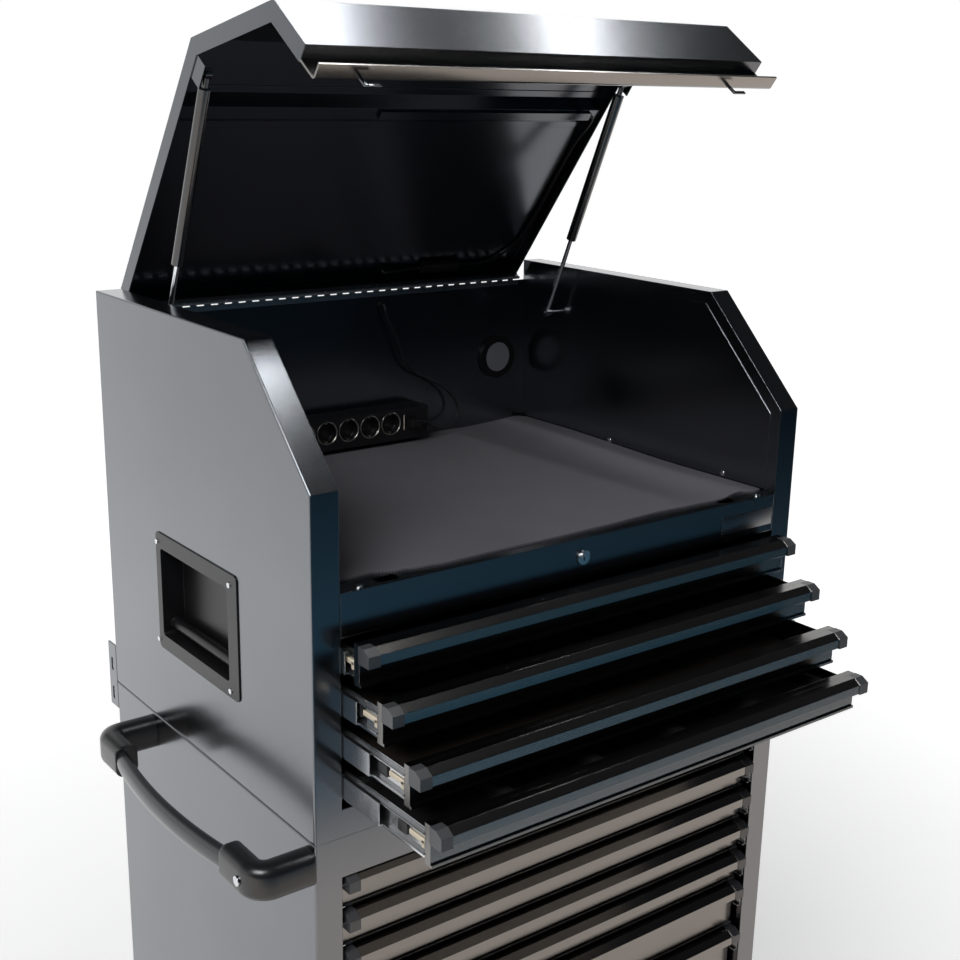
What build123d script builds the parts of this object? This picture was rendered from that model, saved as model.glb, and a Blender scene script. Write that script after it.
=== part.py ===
"""Tool trolley with a top chest: two steel cabinets, eleven drawers, a sloped lid on gas struts.

Sizes are in millimetres, +Z is up and the drawers open towards -Y. Everything is laid out
about the middle of the cabinet's floor plan, with the floor at zero, and each finished piece
is then moved so that the origin lies on the floor beneath the middle of the whole object.
"""

import os
from math import atan2, cos, hypot, pi, radians, sin, tan

from build123d import *

os.makedirs("parts", exist_ok=True)

# Cabinet, shared by the chest and the trolley
cabinet_width = 900.0
cabinet_depth = 640.0
wall = 41.5
sheet = 1.5
edge_radius = 3.0

# Heights of the two cases
castor_height = 155.0
bottom_band = 50.0
top_band = 60.0
chest_rail = 40.0
fascia_height = 60.0
side_height = 653.0
bend_height = 645.0
slope_foot = 476.0
bend_setback = 162.0
back_height = 616.0
rail_return = 25.0
liner_inset = 20.0
liner_sheet = 1.0

# Drawers
drawer_unit = 29.65
chest_drawer_units = (2, 2, 2, 2)
trolley_drawer_units = (2, 2, 2, 2, 2, 3, 8)
chest_bay_margin = 3.8
chest_extensions = (48.0, 101.0, 160.0, 204.0)
drawer_travel = 500.0
drawer_reveal = 1.4
panel_gap = 8.5
panel_return = 12.0
panel_lip_height = 4.0
panel_lip_reach = 3.0
tray_sheet = 1.0
tray_length = 553.0
tray_clearance = 0.3
tray_bottom_gap = 3.0
tray_top_gap = 11.0

# Pull rails along the drawers' top edges
pull_stand_out = 6.0
pull_depth = 23.0
pull_height = 22.0
pull_face = 14.0
pull_top = 12.0
pull_sheet = 2.0
pull_gap = 6.8
cap_width = 18.0
cap_margin = 1.4

# Ball-bearing slides
slide_height = 35.0
slide_width = 12.7
slide_sheet = 1.2
slide_gap = 0.4
slide_length = 560.0
slide_mid_length = 540.0
slide_inner_length = 545.0
slide_setback = 4.0
slide_mid_setback = 17.6
slide_drop = 30.3
outer_flange = 6.5
mid_base = 2.2
mid_flange = 6.0
inner_flange = 6.5

# Worktop, its mat, screws, lock and hook slots
mat_thickness = 3.0
mat_front_gap = 28.0
mat_side_gap = 2.0
mat_corner = 25.0
worktop_screw_side = 33.5
worktop_screw_inset = 8.0
screw_radius = 5.0
screw_height = 2.5
wall_screws = ((63.6, 350.5), (-209.2, 350.5))
wall_screw_height = 1.2
lock_x = 0.7
lock_below_worktop = 28.5
lock_radius = 8.0
lock_rim = 3.0
lock_ring_height = 3.0
lock_length = 24.0
lock_clearance = 0.3
keyway = (2.0, 9.0, 6.0)
cam_length = 24.0
cam_width = 12.0
cam_thickness = 3.0

# Lid, drawn closed and turned back about its hinge
lid_angle = 53.8
lid_sheet = 1.5
lid_side_gap = 9.8
lid_rise_back = 7.0
lid_rise_bend = 6.0
lid_bend_setback = 165.0
lid_front_top = 490.0
lid_front_bottom = 398.0
lid_front_setback = 1.5
lid_return = 20.0
lid_skirt = 25.0
lid_flange_gap = 6.5
grip_drop = 36.0
grip_sheet = 3.0
hat_front = -82.0
hat_back = -8.0
hat_flange = 12.0
hat_web = 15.0
hat_depth = 15.0
hat_sheet = 1.2
lamp_length = 432.0
lamp_end_gap = 26.7
lamp_width = 14.0
lamp_depth = 6.0
hook_x = (-338.0, 302.0)
hook_leg = 20.0
hook_foot = 25.0
hook_width = 14.0
hook_sheet = 3.0
hook_slot_clearance = 3.0

# Piano hinge
knuckle_radius = 3.0
knuckle_pitch = 25.4
knuckle_gap = 0.3
pin_radius = 1.5
pin_clearance = 0.05
leaf_sheet = 1.2
leaf_width = 8.0
leaf_gap = 3.0
hinge_rise = 5.3

# Gas struts
strut_inset = 23.5
strut_foot = (220.7, 567.0)
strut_head_y = -128.0
strut_head_drop = 39.0
rod_radius = 4.0
cylinder_radius = 9.0
cylinder_wall = 1.5
cylinder_length = 270.0
piston_clearance = 0.3
piston_length = 12.0
piston_setback = 12.0
gland_length = 10.0
gland_clearance = 0.1
eye_radius = 8.0
eye_width = 10.0
stud_radius = 3.0
stud_gap = 0.4
neck_length = 22.0
neck_radius = 4.5
stud_bracket_width = 36.0
stud_bracket_above = 33.0
stud_bracket_below = 11.0
stud_bracket_sheet = 1.5

# Power strip, its sockets and the cable covers
strip_reach = (-195.0, 151.0)
strip_base = 352.0
strip_height = 58.0
strip_depth = 48.5
socket_count = 5
socket_pitch = 44.5
last_socket_x = 69.3
socket_height = 33.0
socket_radius = 19.5
socket_depth = 15.0
contact_radius = 2.5
contact_spacing = 19.0
contact_depth = 8.0
usb_port_x = 115.0
usb_port_height = 31.0
plug_size = (24.0, 18.0, 14.0)
cable_cover_side = 63.5
cable_cover_height = 473.0
cable_cover_radius = 41.0
cable_cover_thickness = 5.0
cable_hole_radius = 30.0
cable_seal_thickness = 2.0
small_grommet_radius = 6.0
small_grommet_thickness = 4.0

# Carrying handles let into the chest's sides
handle_reach = (-124.0, 133.0)
handle_height = (128.0, 314.0)
pocket_reach = (-96.0, 118.0)
pocket_height = (151.0, 290.0)
pocket_depth = 34.0
pocket_sheet = 2.0
handle_flange = 2.0
handle_corner = 8.0
pocket_corner = 6.0
pocket_clearance = 0.5
handle_bar_radius = 9.0
handle_bar_height = 166.0
handle_bar_inset = 20.0
handle_rivets = ((128.8, 297.9), (134.4, 139.5), (-102.7, 296.9), (-98.4, 137.8))
rivet_radius = 4.0
rivet_height = 1.5

# Coupling angles at the rear corners
angle_leg = 30.0
angle_sheet = 3.0
angle_below = 49.0
angle_above = 63.0
slot_length = 24.0
slot_width = 8.0
bolt_radius = 6.0
bolt_height = 4.0
bolt_inset = 26.0
bolt_from_edge = 18.0

# Push handle on the trolley's left side
push_span = 443.0
push_middle = -61.5
push_drop = 35.0
push_height = 50.0
root_width = 50.0
root_reach = 30.0
elbow_reach = 65.0
elbow_length = 92.0
elbow_thickness = 30.0
elbow_corner = 22.0
push_bar_bow = 17.0
push_bar_depth = 11.0
push_bar_half_height = 17.0
push_screw_radius = 7.0
root_mouth = 15.0
elbow_throat = 15.0

# Castors
wheel_radius = 62.5
wheel_width = 32.0
tyre_round = 5.0
hub_width = 37.0
hub_radius = 15.0
axle_radius = 6.0
axle_clearance = 0.05
castor_side_inset = 85.0
castor_end_inset = 75.0
castor_plate = (102.0, 84.0, 3.0)
fork_sheet = 3.0
fork_gap = 1.0
fork_top_width = 60.0
fork_foot_width = 26.0
trail = 38.0
brake_shelf = 16.0
crown_radius = 34.0
crown_thickness = 5.0
crown_weld = 1.0
bearing_gap = 0.5
king_pin_radius = 6.0
axle_head_radius = 9.0
axle_head_height = 4.0
brake_pin_radius = 3.0
brake_pin_offset = (44.0, 74.0)
brake_arm = 34.0
brake_width = 28.0
brake_thickness = 6.0
brake_boss_radius = 7.0
brake_slope = 15.0
castor_bolt_spacing = (80.0, 60.0)
castor_bolt_radius = 6.0
castor_bolt_height = 3.5

# Lamp cord
cord_radius = 2.0
cord_below_skin = 4.0
switch_reach = (177.0, 259.0)
switch_width = 20.0
switch_depth = 11.0
switch_clearance = 0.1

# Places that follow from the sizes
half_width = cabinet_width / 2
bay_half = half_width - wall
front = -cabinet_depth / 2
back = cabinet_depth / 2
trolley_bay = sum(trolley_drawer_units) * drawer_unit
trolley_foot = castor_height
trolley_top = castor_height + bottom_band + trolley_bay + top_band
chest_bay = sum(chest_drawer_units) * drawer_unit + chest_bay_margin
fascia_foot = trolley_top + chest_rail + chest_bay
worktop = fascia_foot + fascia_height
hinge_y = back - sheet - knuckle_radius
hinge_z = trolley_top + back_height + hinge_rise
lid_half = bay_half - lid_side_gap
lid_turn = radians(lid_angle)
lid_back = back
lid_rear = (lid_back, trolley_top + side_height + lid_rise_back)
lid_bend = (front + lid_bend_setback, trolley_top + bend_height + lid_rise_bend)
lid_front = (front + lid_front_setback, trolley_top + lid_front_top)
lid_lip = (front + lid_front_setback, trolley_top + lid_front_bottom)
lid_fall = (lid_rear[1] - lid_bend[1]) / (lid_rear[0] - lid_bend[0])
lamp_reach = (lid_half - lamp_end_gap - lamp_length, lid_half - lamp_end_gap)
knuckle_count = int(2 * lid_half / knuckle_pitch)
closed_panel = front - pull_stand_out + pull_depth
worktop_screw_x = bay_half - worktop_screw_side
cable_cover_x = bay_half - cable_cover_side
castor_x = half_width - castor_side_inset
castor_y = back - castor_end_inset
strut_x = bay_half - strut_inset
cylinder_bore = cylinder_radius - cylinder_wall
piston_radius = cylinder_bore - piston_clearance
gland_bore = rod_radius + gland_clearance


def turned_back(y, z):
    """Where a point (y, z) of the closed lid lies when the lid is open."""
    along = y - hinge_y
    up = z - hinge_z
    return (
        hinge_y + along * cos(lid_turn) + up * sin(lid_turn),
        hinge_z - along * sin(lid_turn) + up * cos(lid_turn),
    )


def skin_height(y):
    """Height of the closed lid's inner skin above a place along Y, on its flat top."""
    return lid_rear[1] - lid_sheet - (lid_rear[0] - y) * lid_fall


foot = (strut_foot[0], trolley_top + strut_foot[1])
closed_head = (strut_head_y, skin_height(strut_head_y) - strut_head_drop)
head = turned_back(*closed_head)

# How far the object reaches from the cabinet's middle, which sets the origin
left_reach = half_width + root_reach + elbow_reach + push_bar_bow - elbow_thickness / 2 + push_bar_depth
right_reach = half_width + handle_flange
front_reach = -front + pull_stand_out + max(chest_extensions)
back_reach = back + angle_leg
middle = Location(((left_reach - right_reach) / 2, (front_reach - back_reach) / 2, 0))


def save(piece, name):
    """Move a finished piece to the common origin, label it and write it."""
    piece.part = middle * piece.part
    piece.part.label = name
    export_step(piece.part, f"parts/{name}.step")


def span(a, b):
    """Two values, lowest first."""
    return (min(a, b), max(a, b))


def block(x, y, z, mode=Mode.ADD):
    """A rectangular solid that fills the given ranges along X, Y and Z."""
    with Locations(((x[0] + x[1]) / 2, (y[0] + y[1]) / 2, (z[0] + z[1]) / 2)):
        Box(x[1] - x[0], y[1] - y[0], z[1] - z[0], mode=mode)


def rod(start, direction, radius, length, mode=Mode.ADD):
    """A round bar from a point along a direction."""
    with BuildSketch(Plane(origin=start, z_dir=direction)) as profile:
        Circle(radius)
    extrude(profile.sketch, amount=length, mode=mode)


def slab(points, x, mode=Mode.ADD):
    """A solid between two X planes whose outline is the points (y, z)."""
    with BuildSketch(Plane.YZ.offset(x[0])) as profile:
        with BuildLine():
            Polyline(*points, close=True)
        make_face()
    extrude(profile.sketch, amount=x[1] - x[0], mode=mode)


def folded(points, thickness, plane, width, side=Side.LEFT, mode=Mode.ADD):
    """Folded sheet: a line of points on the plane, given a thickness to one side and a width."""
    with BuildSketch(plane) as profile:
        with BuildLine():
            Polyline(*points)
            offset(amount=thickness, side=side, kind=Kind.INTERSECTION)
        make_face()
    extrude(profile.sketch, amount=width, mode=mode)


def rounded_block(x, y, z, radius, mode=Mode.ADD):
    """A block whose four edges along X are rounded."""
    with BuildSketch(Plane.YZ.offset(x[0])) as profile:
        with Locations(((y[0] + y[1]) / 2, (z[0] + z[1]) / 2)):
            RectangleRounded(y[1] - y[0], z[1] - z[0], radius)
    extrude(profile.sketch, amount=x[1] - x[0], mode=mode)


def double_wall(piece, side, outline, foot):
    """Hollow double side wall with the outline (y, z), its outer edges bent round, open below."""
    slab(outline, span(side * bay_half, side * half_width))
    outer_face = piece.faces().sort_by(Axis.X)[-1 if side > 0 else 0]
    fillet(outer_face.edges(), radius=min(edge_radius, 2 * sheet))
    hollow = span(side * (bay_half + sheet), side * (half_width - sheet))
    with BuildSketch(Plane.YZ.offset(hollow[0])) as profile:
        with BuildLine():
            Polyline(*outline, close=True)
        make_face()
        offset(amount=-sheet)
        with Locations((0, foot + sheet)):
            Rectangle(cabinet_depth - 2 * sheet, 4 * sheet)
    extrude(profile.sketch, amount=hollow[1] - hollow[0], mode=Mode.SUBTRACT)


# Chest case: two double walls, a back and a base pan with the rail under the drawers
def chest_outline(inset):
    """Side outline of the chest, drawn in from its sloped front, its top and its front edge."""
    slope = atan2(bend_height - slope_foot, bend_setback)
    side_step = inset * tan(slope / 2)
    front_step = inset * tan((radians(90) - slope) / 2)
    return (
        (front + inset, trolley_top + slope_foot - front_step),
        (front + bend_setback + side_step, trolley_top + bend_height - inset),
        (back - sheet, trolley_top + side_height - inset),
    )


with BuildPart() as chest_case:
    chest_side = (
        (front, trolley_top),
        (front, trolley_top + slope_foot),
        (front + bend_setback, trolley_top + bend_height),
        (back, trolley_top + side_height),
        (back, trolley_top),
    )
    for side in (-1, 1):
        double_wall(chest_case, side, chest_side, trolley_top)
        liner = (
            (front + liner_inset, worktop),
            *chest_outline(liner_inset),
            (back - sheet, worktop),
        )
        slab(liner, span(side * bay_half, side * (bay_half - liner_sheet)))
        pocket_room = pocket_sheet + pocket_clearance
        pocket_z = (trolley_top + pocket_height[0], trolley_top + pocket_height[1])
        rounded_block(
            span(side * (half_width - 2 * sheet), side * (half_width + sheet)),
            (pocket_reach[0] - pocket_room, pocket_reach[1] + pocket_room),
            (pocket_z[0] - pocket_room, pocket_z[1] + pocket_room),
            pocket_corner + pocket_room,
            mode=Mode.SUBTRACT,
        )
    block((-bay_half, bay_half), (back - sheet, back), (trolley_top, trolley_top + back_height))
    base_rail = (
        (front + rail_return, trolley_top + chest_rail),
        (front, trolley_top + chest_rail),
        (front, trolley_top),
        (back - sheet, trolley_top),
    )
    folded(base_rail, sheet, Plane.YZ.offset(-bay_half), 2 * bay_half)
    cable_hole_at = (cable_cover_x, back + sheet, trolley_top + cable_cover_height)
    rod(cable_hole_at, (0, -1, 0), cable_hole_radius, 4 * sheet, mode=Mode.SUBTRACT)
save(chest_case, "chest_case")

# Worktop tray: the shelf over the drawers and the fascia in front of it, one folded sheet
hook_slot_y = front + lid_front_setback + lid_return + grip_sheet - hook_width / 2
with BuildPart() as worktop_tray:
    tray_line = (
        (back - sheet, worktop),
        (front, worktop),
        (front, fascia_foot),
        (front + rail_return, fascia_foot),
    )
    folded(tray_line, sheet, Plane.YZ.offset(-bay_half + liner_sheet), 2 * (bay_half - liner_sheet))
    rod(
        (lock_x, front - sheet, worktop - lock_below_worktop),
        (0, 1, 0),
        lock_radius + lock_clearance,
        3 * sheet,
        mode=Mode.SUBTRACT,
    )
    for x in hook_x:
        block(
            (x - hook_sheet - hook_slot_clearance, x + hook_foot + hook_slot_clearance),
            (
                hook_slot_y - hook_width / 2 - hook_slot_clearance,
                hook_slot_y + hook_width / 2 + hook_slot_clearance,
            ),
            (worktop - 2 * sheet, worktop + sheet),
            mode=Mode.SUBTRACT,
        )
save(worktop_tray, "worktop_tray")

# Rubber mat on the shelf, its rear corners rounded
mat_front = front + mat_front_gap
mat_half = bay_half - liner_sheet - mat_side_gap
with BuildPart() as worktop_mat:
    block((-mat_half, mat_half), (mat_front, back - sheet), (worktop, worktop + mat_thickness))
    rear_corners = worktop_mat.edges().filter_by(Axis.Z).group_by(Axis.Y)[-1]
    fillet(rear_corners, radius=mat_corner)
save(worktop_mat, "worktop_mat")


# Piano hinge: knuckles of the two leaves take turns along one pin
def knuckle_starts(first):
    """Left ends of one leaf's knuckles, which fill every other place along the pin."""
    left = -knuckle_count * knuckle_pitch / 2
    return [left + n * knuckle_pitch + first * knuckle_pitch / 2 for n in range(knuckle_count)]


knuckle_length = knuckle_pitch / 2 - knuckle_gap
hinge_half = knuckle_count * knuckle_pitch / 2
leaf_offset = knuckle_radius - leaf_sheet
leaf_root = knuckle_radius + leaf_gap


def hinge_plane(x, turn):
    """A Y-Z plane at x on the hinge axis, turned back by an angle."""
    return Plane(origin=(x, hinge_y, hinge_z), x_dir=(0, cos(turn), -sin(turn)), z_dir=(1, 0, 0))


def knuckle(x, turn, upward, bore):
    """One knuckle and the tongue that joins it to its leaf."""
    with BuildSketch(hinge_plane(x, turn)) as profile:
        Circle(knuckle_radius)
        with Locations((leaf_offset + leaf_sheet / 2, upward * leaf_root / 2)):
            Rectangle(leaf_sheet, leaf_root)
        if bore:
            Circle(pin_radius + pin_clearance, mode=Mode.SUBTRACT)
    extrude(profile.sketch, amount=knuckle_length)


def leaf_plate(turn, upward):
    """Flat part of a leaf, beside the knuckles."""
    with BuildSketch(hinge_plane(-hinge_half, turn)) as profile:
        with Locations((leaf_offset + leaf_sheet / 2, upward * (leaf_root + leaf_width / 2))):
            Rectangle(leaf_sheet, leaf_width)
    extrude(profile.sketch, amount=2 * hinge_half - knuckle_gap)


with BuildPart() as hinge_leaf_fixed:
    leaf_plate(0, -1)
    for x in knuckle_starts(0):
        knuckle(x, 0, -1, False)
    rod((-hinge_half, hinge_y, hinge_z), (1, 0, 0), pin_radius, 2 * hinge_half - knuckle_gap)
save(hinge_leaf_fixed, "hinge_leaf_fixed")

with BuildPart() as hinge_leaf_lid:
    leaf_plate(lid_turn, 1)
    for x in knuckle_starts(1):
        knuckle(x, lid_turn, 1, True)
save(hinge_leaf_lid, "hinge_leaf_lid")

# Lid: one folded skin with side skirts, a hat-section stiffener and a lamp bar under it
def on_lid(point):
    """A closed point (y, z) as measured from the hinge."""
    return (point[0] - hinge_y, point[1] - hinge_z)


def lid_block(x, y, z):
    """A block given in the closed lid's own directions."""
    with BuildSketch(hinge_plane(x[0], lid_turn)) as profile:
        with Locations(on_lid(((y[0] + y[1]) / 2, (z[0] + z[1]) / 2))):
            Rectangle(y[1] - y[0], z[1] - z[0])
    extrude(profile.sketch, amount=x[1] - x[0])


with BuildPart() as lid_shell:
    skin_line = [
        on_lid((lid_back, hinge_z + lid_flange_gap)),
        on_lid(lid_rear),
        on_lid(lid_bend),
        on_lid(lid_front),
        on_lid(lid_lip),
        on_lid((lid_lip[0] + lid_return, lid_lip[1])),
    ]
    folded(skin_line, lid_sheet, hinge_plane(-lid_half, lid_turn), 2 * lid_half)
    for x in (-lid_half, lid_half - lid_sheet):
        folded(skin_line[1:5], lid_skirt, hinge_plane(x, lid_turn), lid_sheet)
    hat_line = [
        on_lid((hat_back, skin_height(hat_back))),
        on_lid((hat_back - hat_flange, skin_height(hat_back - hat_flange))),
        on_lid((hat_back - hat_flange - hat_web, skin_height(hat_back) - hat_depth)),
        on_lid((hat_front + hat_flange + hat_web, skin_height(hat_front) - hat_depth)),
        on_lid((hat_front + hat_flange, skin_height(hat_front + hat_flange))),
        on_lid((hat_front, skin_height(hat_front))),
    ]
    hat_width = 2 * (lid_half - lid_sheet)
    folded(hat_line, hat_sheet, hinge_plane(-lid_half + lid_sheet, lid_turn), hat_width)
    lamp_middle = (hat_front + hat_back) / 2
    lamp_top = skin_height(lamp_middle) - hat_depth - hat_sheet / 2
    lid_block(
        lamp_reach,
        (lamp_middle - lamp_width / 2, lamp_middle + lamp_width / 2),
        (lamp_top - lamp_depth, lamp_top),
    )
    for side in (-1, 1):
        skirt_face = lid_half - lid_sheet
        lid_block(
            span(side * skirt_face, side * (skirt_face - stud_bracket_sheet)),
            (strut_head_y - stud_bracket_width / 2, strut_head_y + stud_bracket_width / 2),
            (closed_head[1] - stud_bracket_below, closed_head[1] + stud_bracket_above),
        )
save(lid_shell, "lid_shell")

# Grip rail along the lid's front foot: a drop wall, a lip to pull on and two latch hooks
grip_top = lid_lip[1]
grip_back = lid_lip[0] + lid_return
with BuildPart() as lid_grip_rail:
    grip_line = [
        on_lid((grip_back, grip_top)),
        on_lid((grip_back, grip_top - grip_drop)),
        on_lid((lid_lip[0], grip_top - grip_drop)),
    ]
    folded(grip_line, grip_sheet, hinge_plane(-lid_half, lid_turn), 2 * lid_half)
    for x in hook_x:
        hook_y = (hook_slot_y - hook_width / 2, hook_slot_y + hook_width / 2)
        hook_top = grip_top - grip_drop - grip_sheet
        hook_bottom = hook_top - hook_leg
        lid_block((x - hook_sheet, x), hook_y, (hook_bottom, hook_top))
        lid_block((x - hook_sheet, x + hook_foot), hook_y, (hook_bottom, hook_bottom + hook_sheet))
save(lid_grip_rail, "lid_grip_rail")

# Gas struts: a rod hinged on a stud in the chest wall, and a cylinder that ends at the lid
strut_open = hypot(head[0] - foot[0], head[1] - foot[1])
strut_lean = (0, (head[0] - foot[0]) / strut_open, (head[1] - foot[1]) / strut_open)
cylinder_start = strut_open - neck_length - cylinder_length


def along_strut(side, distance):
    """A plane square to an open strut, at a distance from its foot."""
    origin = (side * strut_x, foot[0] + strut_lean[1] * distance, foot[1] + strut_lean[2] * distance)
    return Plane(origin=origin, x_dir=(1, 0, 0), z_dir=strut_lean)


def strut_bar(side, start, end, radius, mode=Mode.ADD):
    """A round length of strut between two distances from its foot."""
    with BuildSketch(along_strut(side, start)) as profile:
        Circle(radius)
    extrude(profile.sketch, amount=end - start, mode=mode)


def eye(side, place, bore):
    """Flat round eye of a strut's end fitting, about a pivot that lies along X."""
    left = side * strut_x - eye_width / 2
    rod((left, *place), (1, 0, 0), eye_radius, eye_width)
    if bore:
        rod((left, *place), (1, 0, 0), stud_radius + pin_clearance, eye_width, mode=Mode.SUBTRACT)


for side, name in ((-1, "left"), (1, "right")):
    with BuildPart() as strut_rod:
        rod_end = cylinder_start + gland_length + piston_setback + piston_length
        strut_bar(side, 0, neck_length, neck_radius)
        eye(side, foot, True)
        strut_bar(side, neck_length, rod_end, rod_radius)
        strut_bar(side, rod_end - piston_length, rod_end, piston_radius)
    save(strut_rod, f"strut_rod_{name}")

    with BuildPart() as strut_cylinder:
        cylinder_end = cylinder_start + cylinder_length
        strut_bar(side, cylinder_start, cylinder_end, cylinder_radius)
        cylinder_inside = cylinder_start + gland_length
        strut_bar(side, cylinder_inside, cylinder_end - gland_length, cylinder_bore, mode=Mode.SUBTRACT)
        strut_bar(side, cylinder_start, cylinder_inside, gland_bore, mode=Mode.SUBTRACT)
        strut_bar(side, cylinder_end, strut_open, neck_radius)
        eye(side, head, False)
        stud_end = lid_half - lid_sheet - stud_bracket_sheet - stud_gap
        rod((side * strut_x, *head), (side, 0, 0), stud_radius, stud_end - strut_x)
    save(strut_cylinder, f"strut_cylinder_{name}")

# Power strip with round sockets and a charging port, on the back wall
strip_front = back - sheet - strip_depth
strip_low = trolley_top + strip_base
strip_middle = strip_low + socket_height
socket_places = [last_socket_x - n * socket_pitch for n in range(socket_count)]
with BuildPart() as power_strip:
    block(strip_reach, (strip_front, back - sheet), (strip_low, strip_low + strip_height))
    long_edges = power_strip.faces().sort_by(Axis.Y)[0].edges()
    fillet(long_edges, radius=edge_radius)
    for x in socket_places:
        recess = (x, strip_front, strip_middle)
        rod(recess, (0, 1, 0), socket_radius, socket_depth, mode=Mode.SUBTRACT)
        for contact in (-contact_spacing / 2, contact_spacing / 2):
            hole = (x + contact, strip_front + socket_depth, strip_middle)
            rod(hole, (0, 1, 0), contact_radius, contact_depth, mode=Mode.SUBTRACT)
save(power_strip, "power_strip")

# Charger plug that stands in the strip's port, with the lamp's cord on its right end
plug_middle = (usb_port_x, strip_front - plug_size[1] / 2, strip_low + usb_port_height)
with BuildPart() as usb_plug:
    block(
        (plug_middle[0] - plug_size[0] / 2, plug_middle[0] + plug_size[0] / 2),
        (strip_front - plug_size[1], strip_front),
        (plug_middle[2] - plug_size[2] / 2, plug_middle[2] + plug_size[2] / 2),
    )
    fillet(usb_plug.faces().sort_by(Axis.Y)[0].edges(), radius=edge_radius)
save(usb_plug, "usb_plug")

# Round cable cover in the back wall, its rubber seal, and the small grommet under the hinge
cord_exit = (81.0, trolley_top + 592.0)
with BuildPart() as cable_grommet:
    cover_at = (cable_cover_x, back - sheet, trolley_top + cable_cover_height)
    rod(cover_at, (0, -1, 0), cable_cover_radius, cable_cover_thickness)
    rod(cover_at, (0, -1, 0), cable_hole_radius - edge_radius, cable_cover_thickness, mode=Mode.SUBTRACT)
    rod(cover_at, (0, -1, 0), cable_hole_radius, cable_seal_thickness)
    rod((cord_exit[0], back - sheet, cord_exit[1]), (0, -1, 0), small_grommet_radius, small_grommet_thickness)
save(cable_grommet, "cable_grommet")


# Lamp cord: from the plug up the back wall, then from the lid's skin past a switch to the lamp
def route_radii(points):
    """Arc radius at each corner: as large as the two runs beside it allow."""
    radii = []
    for before, corner, after in zip(points, points[1:], points[2:]):
        arriving = Vector(*corner) - Vector(*before)
        leaving = Vector(*after) - Vector(*corner)
        turn = radians(arriving.get_angle(leaving))
        radii.append(0.45 * min(arriving.length, leaving.length) / tan(turn / 2))
    return radii


def cord(points, name):
    """Round cord along a route of straight runs and tangent arcs, with its measures printed."""
    radii = route_radii(points)
    with BuildPart() as piece:
        with BuildLine() as route:
            FilletPolyline(*points, radius=radii)
        start = route.wire() ^ 0
        with BuildSketch(Plane(origin=start.position, z_dir=start.z_axis.direction)) as section:
            Circle(cord_radius)
        sweep(section.sketch, path=route.wire())
    length = route.wire().length
    plain = pi * cord_radius**2 * length
    print(name, "length", round(length), "radii", [round(r) for r in radii])
    print(name, "volume over section times length", round(piece.part.volume / plain, 4))
    save(piece, name)


plug_end = (plug_middle[0] + plug_size[0] / 2, plug_middle[1], plug_middle[2])
lower_route = [
    plug_end,
    (plug_end[0] + 10, plug_end[1], plug_end[2]),
    (154, 264, trolley_top + 372),
    (172, 271, trolley_top + 362),
    (196, 282, trolley_top + 355),
    (226, 291, trolley_top + 362),
    (240, 296, trolley_top + 380),
    (234, 299, trolley_top + 404),
    (210, 300, trolley_top + 430),
    (176, 301, trolley_top + 449),
    (139, 302, trolley_top + 466),
    (118, 303, trolley_top + 492),
    (108, 303, trolley_top + 525),
    (91, 305, trolley_top + 556),
    (82, 306, trolley_top + 577),
    (cord_exit[0], 307, cord_exit[1]),
    (cord_exit[0], back - sheet - small_grommet_thickness, cord_exit[1]),
]
cord(lower_route, "lamp_cord_lower")


def under_skin(x, y, below=cord_below_skin):
    """A place under the lid's flat top, below its inner skin, with the lid open."""
    return (x, *turned_back(y, skin_height(y) - below))


lead_y = 303.0
cord_grommet_x = 92.0
lamp_depth_below = skin_height(lamp_middle) - lamp_top + lamp_depth / 2
upper_route = [
    under_skin(cord_grommet_x, lead_y, small_grommet_thickness),
    under_skin(cord_grommet_x, lead_y, 13),
    under_skin(108, lead_y - 1, 11),
    under_skin(130, lead_y + 1, 8),
    under_skin(155, lead_y, switch_depth / 2),
    under_skin(switch_reach[1] + 10, lead_y, switch_depth / 2),
    under_skin(292, lead_y - 1, 5),
    under_skin(318, lead_y - 1),
    under_skin(345, 294),
    under_skin(366, 275),
    under_skin(380, 250),
    under_skin(386, 215),
    under_skin(387.5, 170),
    under_skin(387, 125),
    under_skin(388, 80),
    under_skin(387, 42, 5),
    under_skin(387, 14, 8),
    under_skin(386, -9, 14),
    under_skin(385, -30, lamp_depth_below),
    under_skin(383, lamp_middle, lamp_depth_below),
    under_skin(lamp_reach[1], lamp_middle, lamp_depth_below),
]
cord(upper_route, "lamp_cord_upper")

with BuildPart() as lamp_switch:
    switch_z = (skin_height(lead_y) - switch_depth, skin_height(lead_y - switch_width / 2))
    lid_block(switch_reach, (lead_y - switch_width / 2, lead_y + switch_width / 2), switch_z)
    rod(
        under_skin(switch_reach[0], lead_y, switch_depth / 2),
        (1, 0, 0),
        cord_radius + switch_clearance,
        switch_reach[1] - switch_reach[0],
        mode=Mode.SUBTRACT,
    )
save(lamp_switch, "lamp_switch")

# Carrying handles: a flanged pocket in each side of the chest with a round grip bar across it
with BuildPart() as side_handles:
    for side in (-1, 1):
        face = side * half_width
        low = trolley_top + pocket_height[0]
        high = trolley_top + pocket_height[1]
        rounded_block(
            span(face, face + side * handle_flange),
            handle_reach,
            (trolley_top + handle_height[0], trolley_top + handle_height[1]),
            handle_corner,
        )
        rounded_block(
            span(face - side * (pocket_depth + pocket_sheet), face),
            (pocket_reach[0] - pocket_sheet, pocket_reach[1] + pocket_sheet),
            (low - pocket_sheet, high + pocket_sheet),
            pocket_corner + pocket_sheet,
        )
        rounded_block(
            span(face - side * pocket_depth, face + side * handle_flange),
            pocket_reach,
            (low, high),
            pocket_corner,
            mode=Mode.SUBTRACT,
        )
        bar_start = (face - side * handle_bar_inset, pocket_reach[0], trolley_top + handle_bar_height)
        rod(bar_start, (0, 1, 0), handle_bar_radius, pocket_reach[1] - pocket_reach[0])
save(side_handles, "side_handles")

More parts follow.
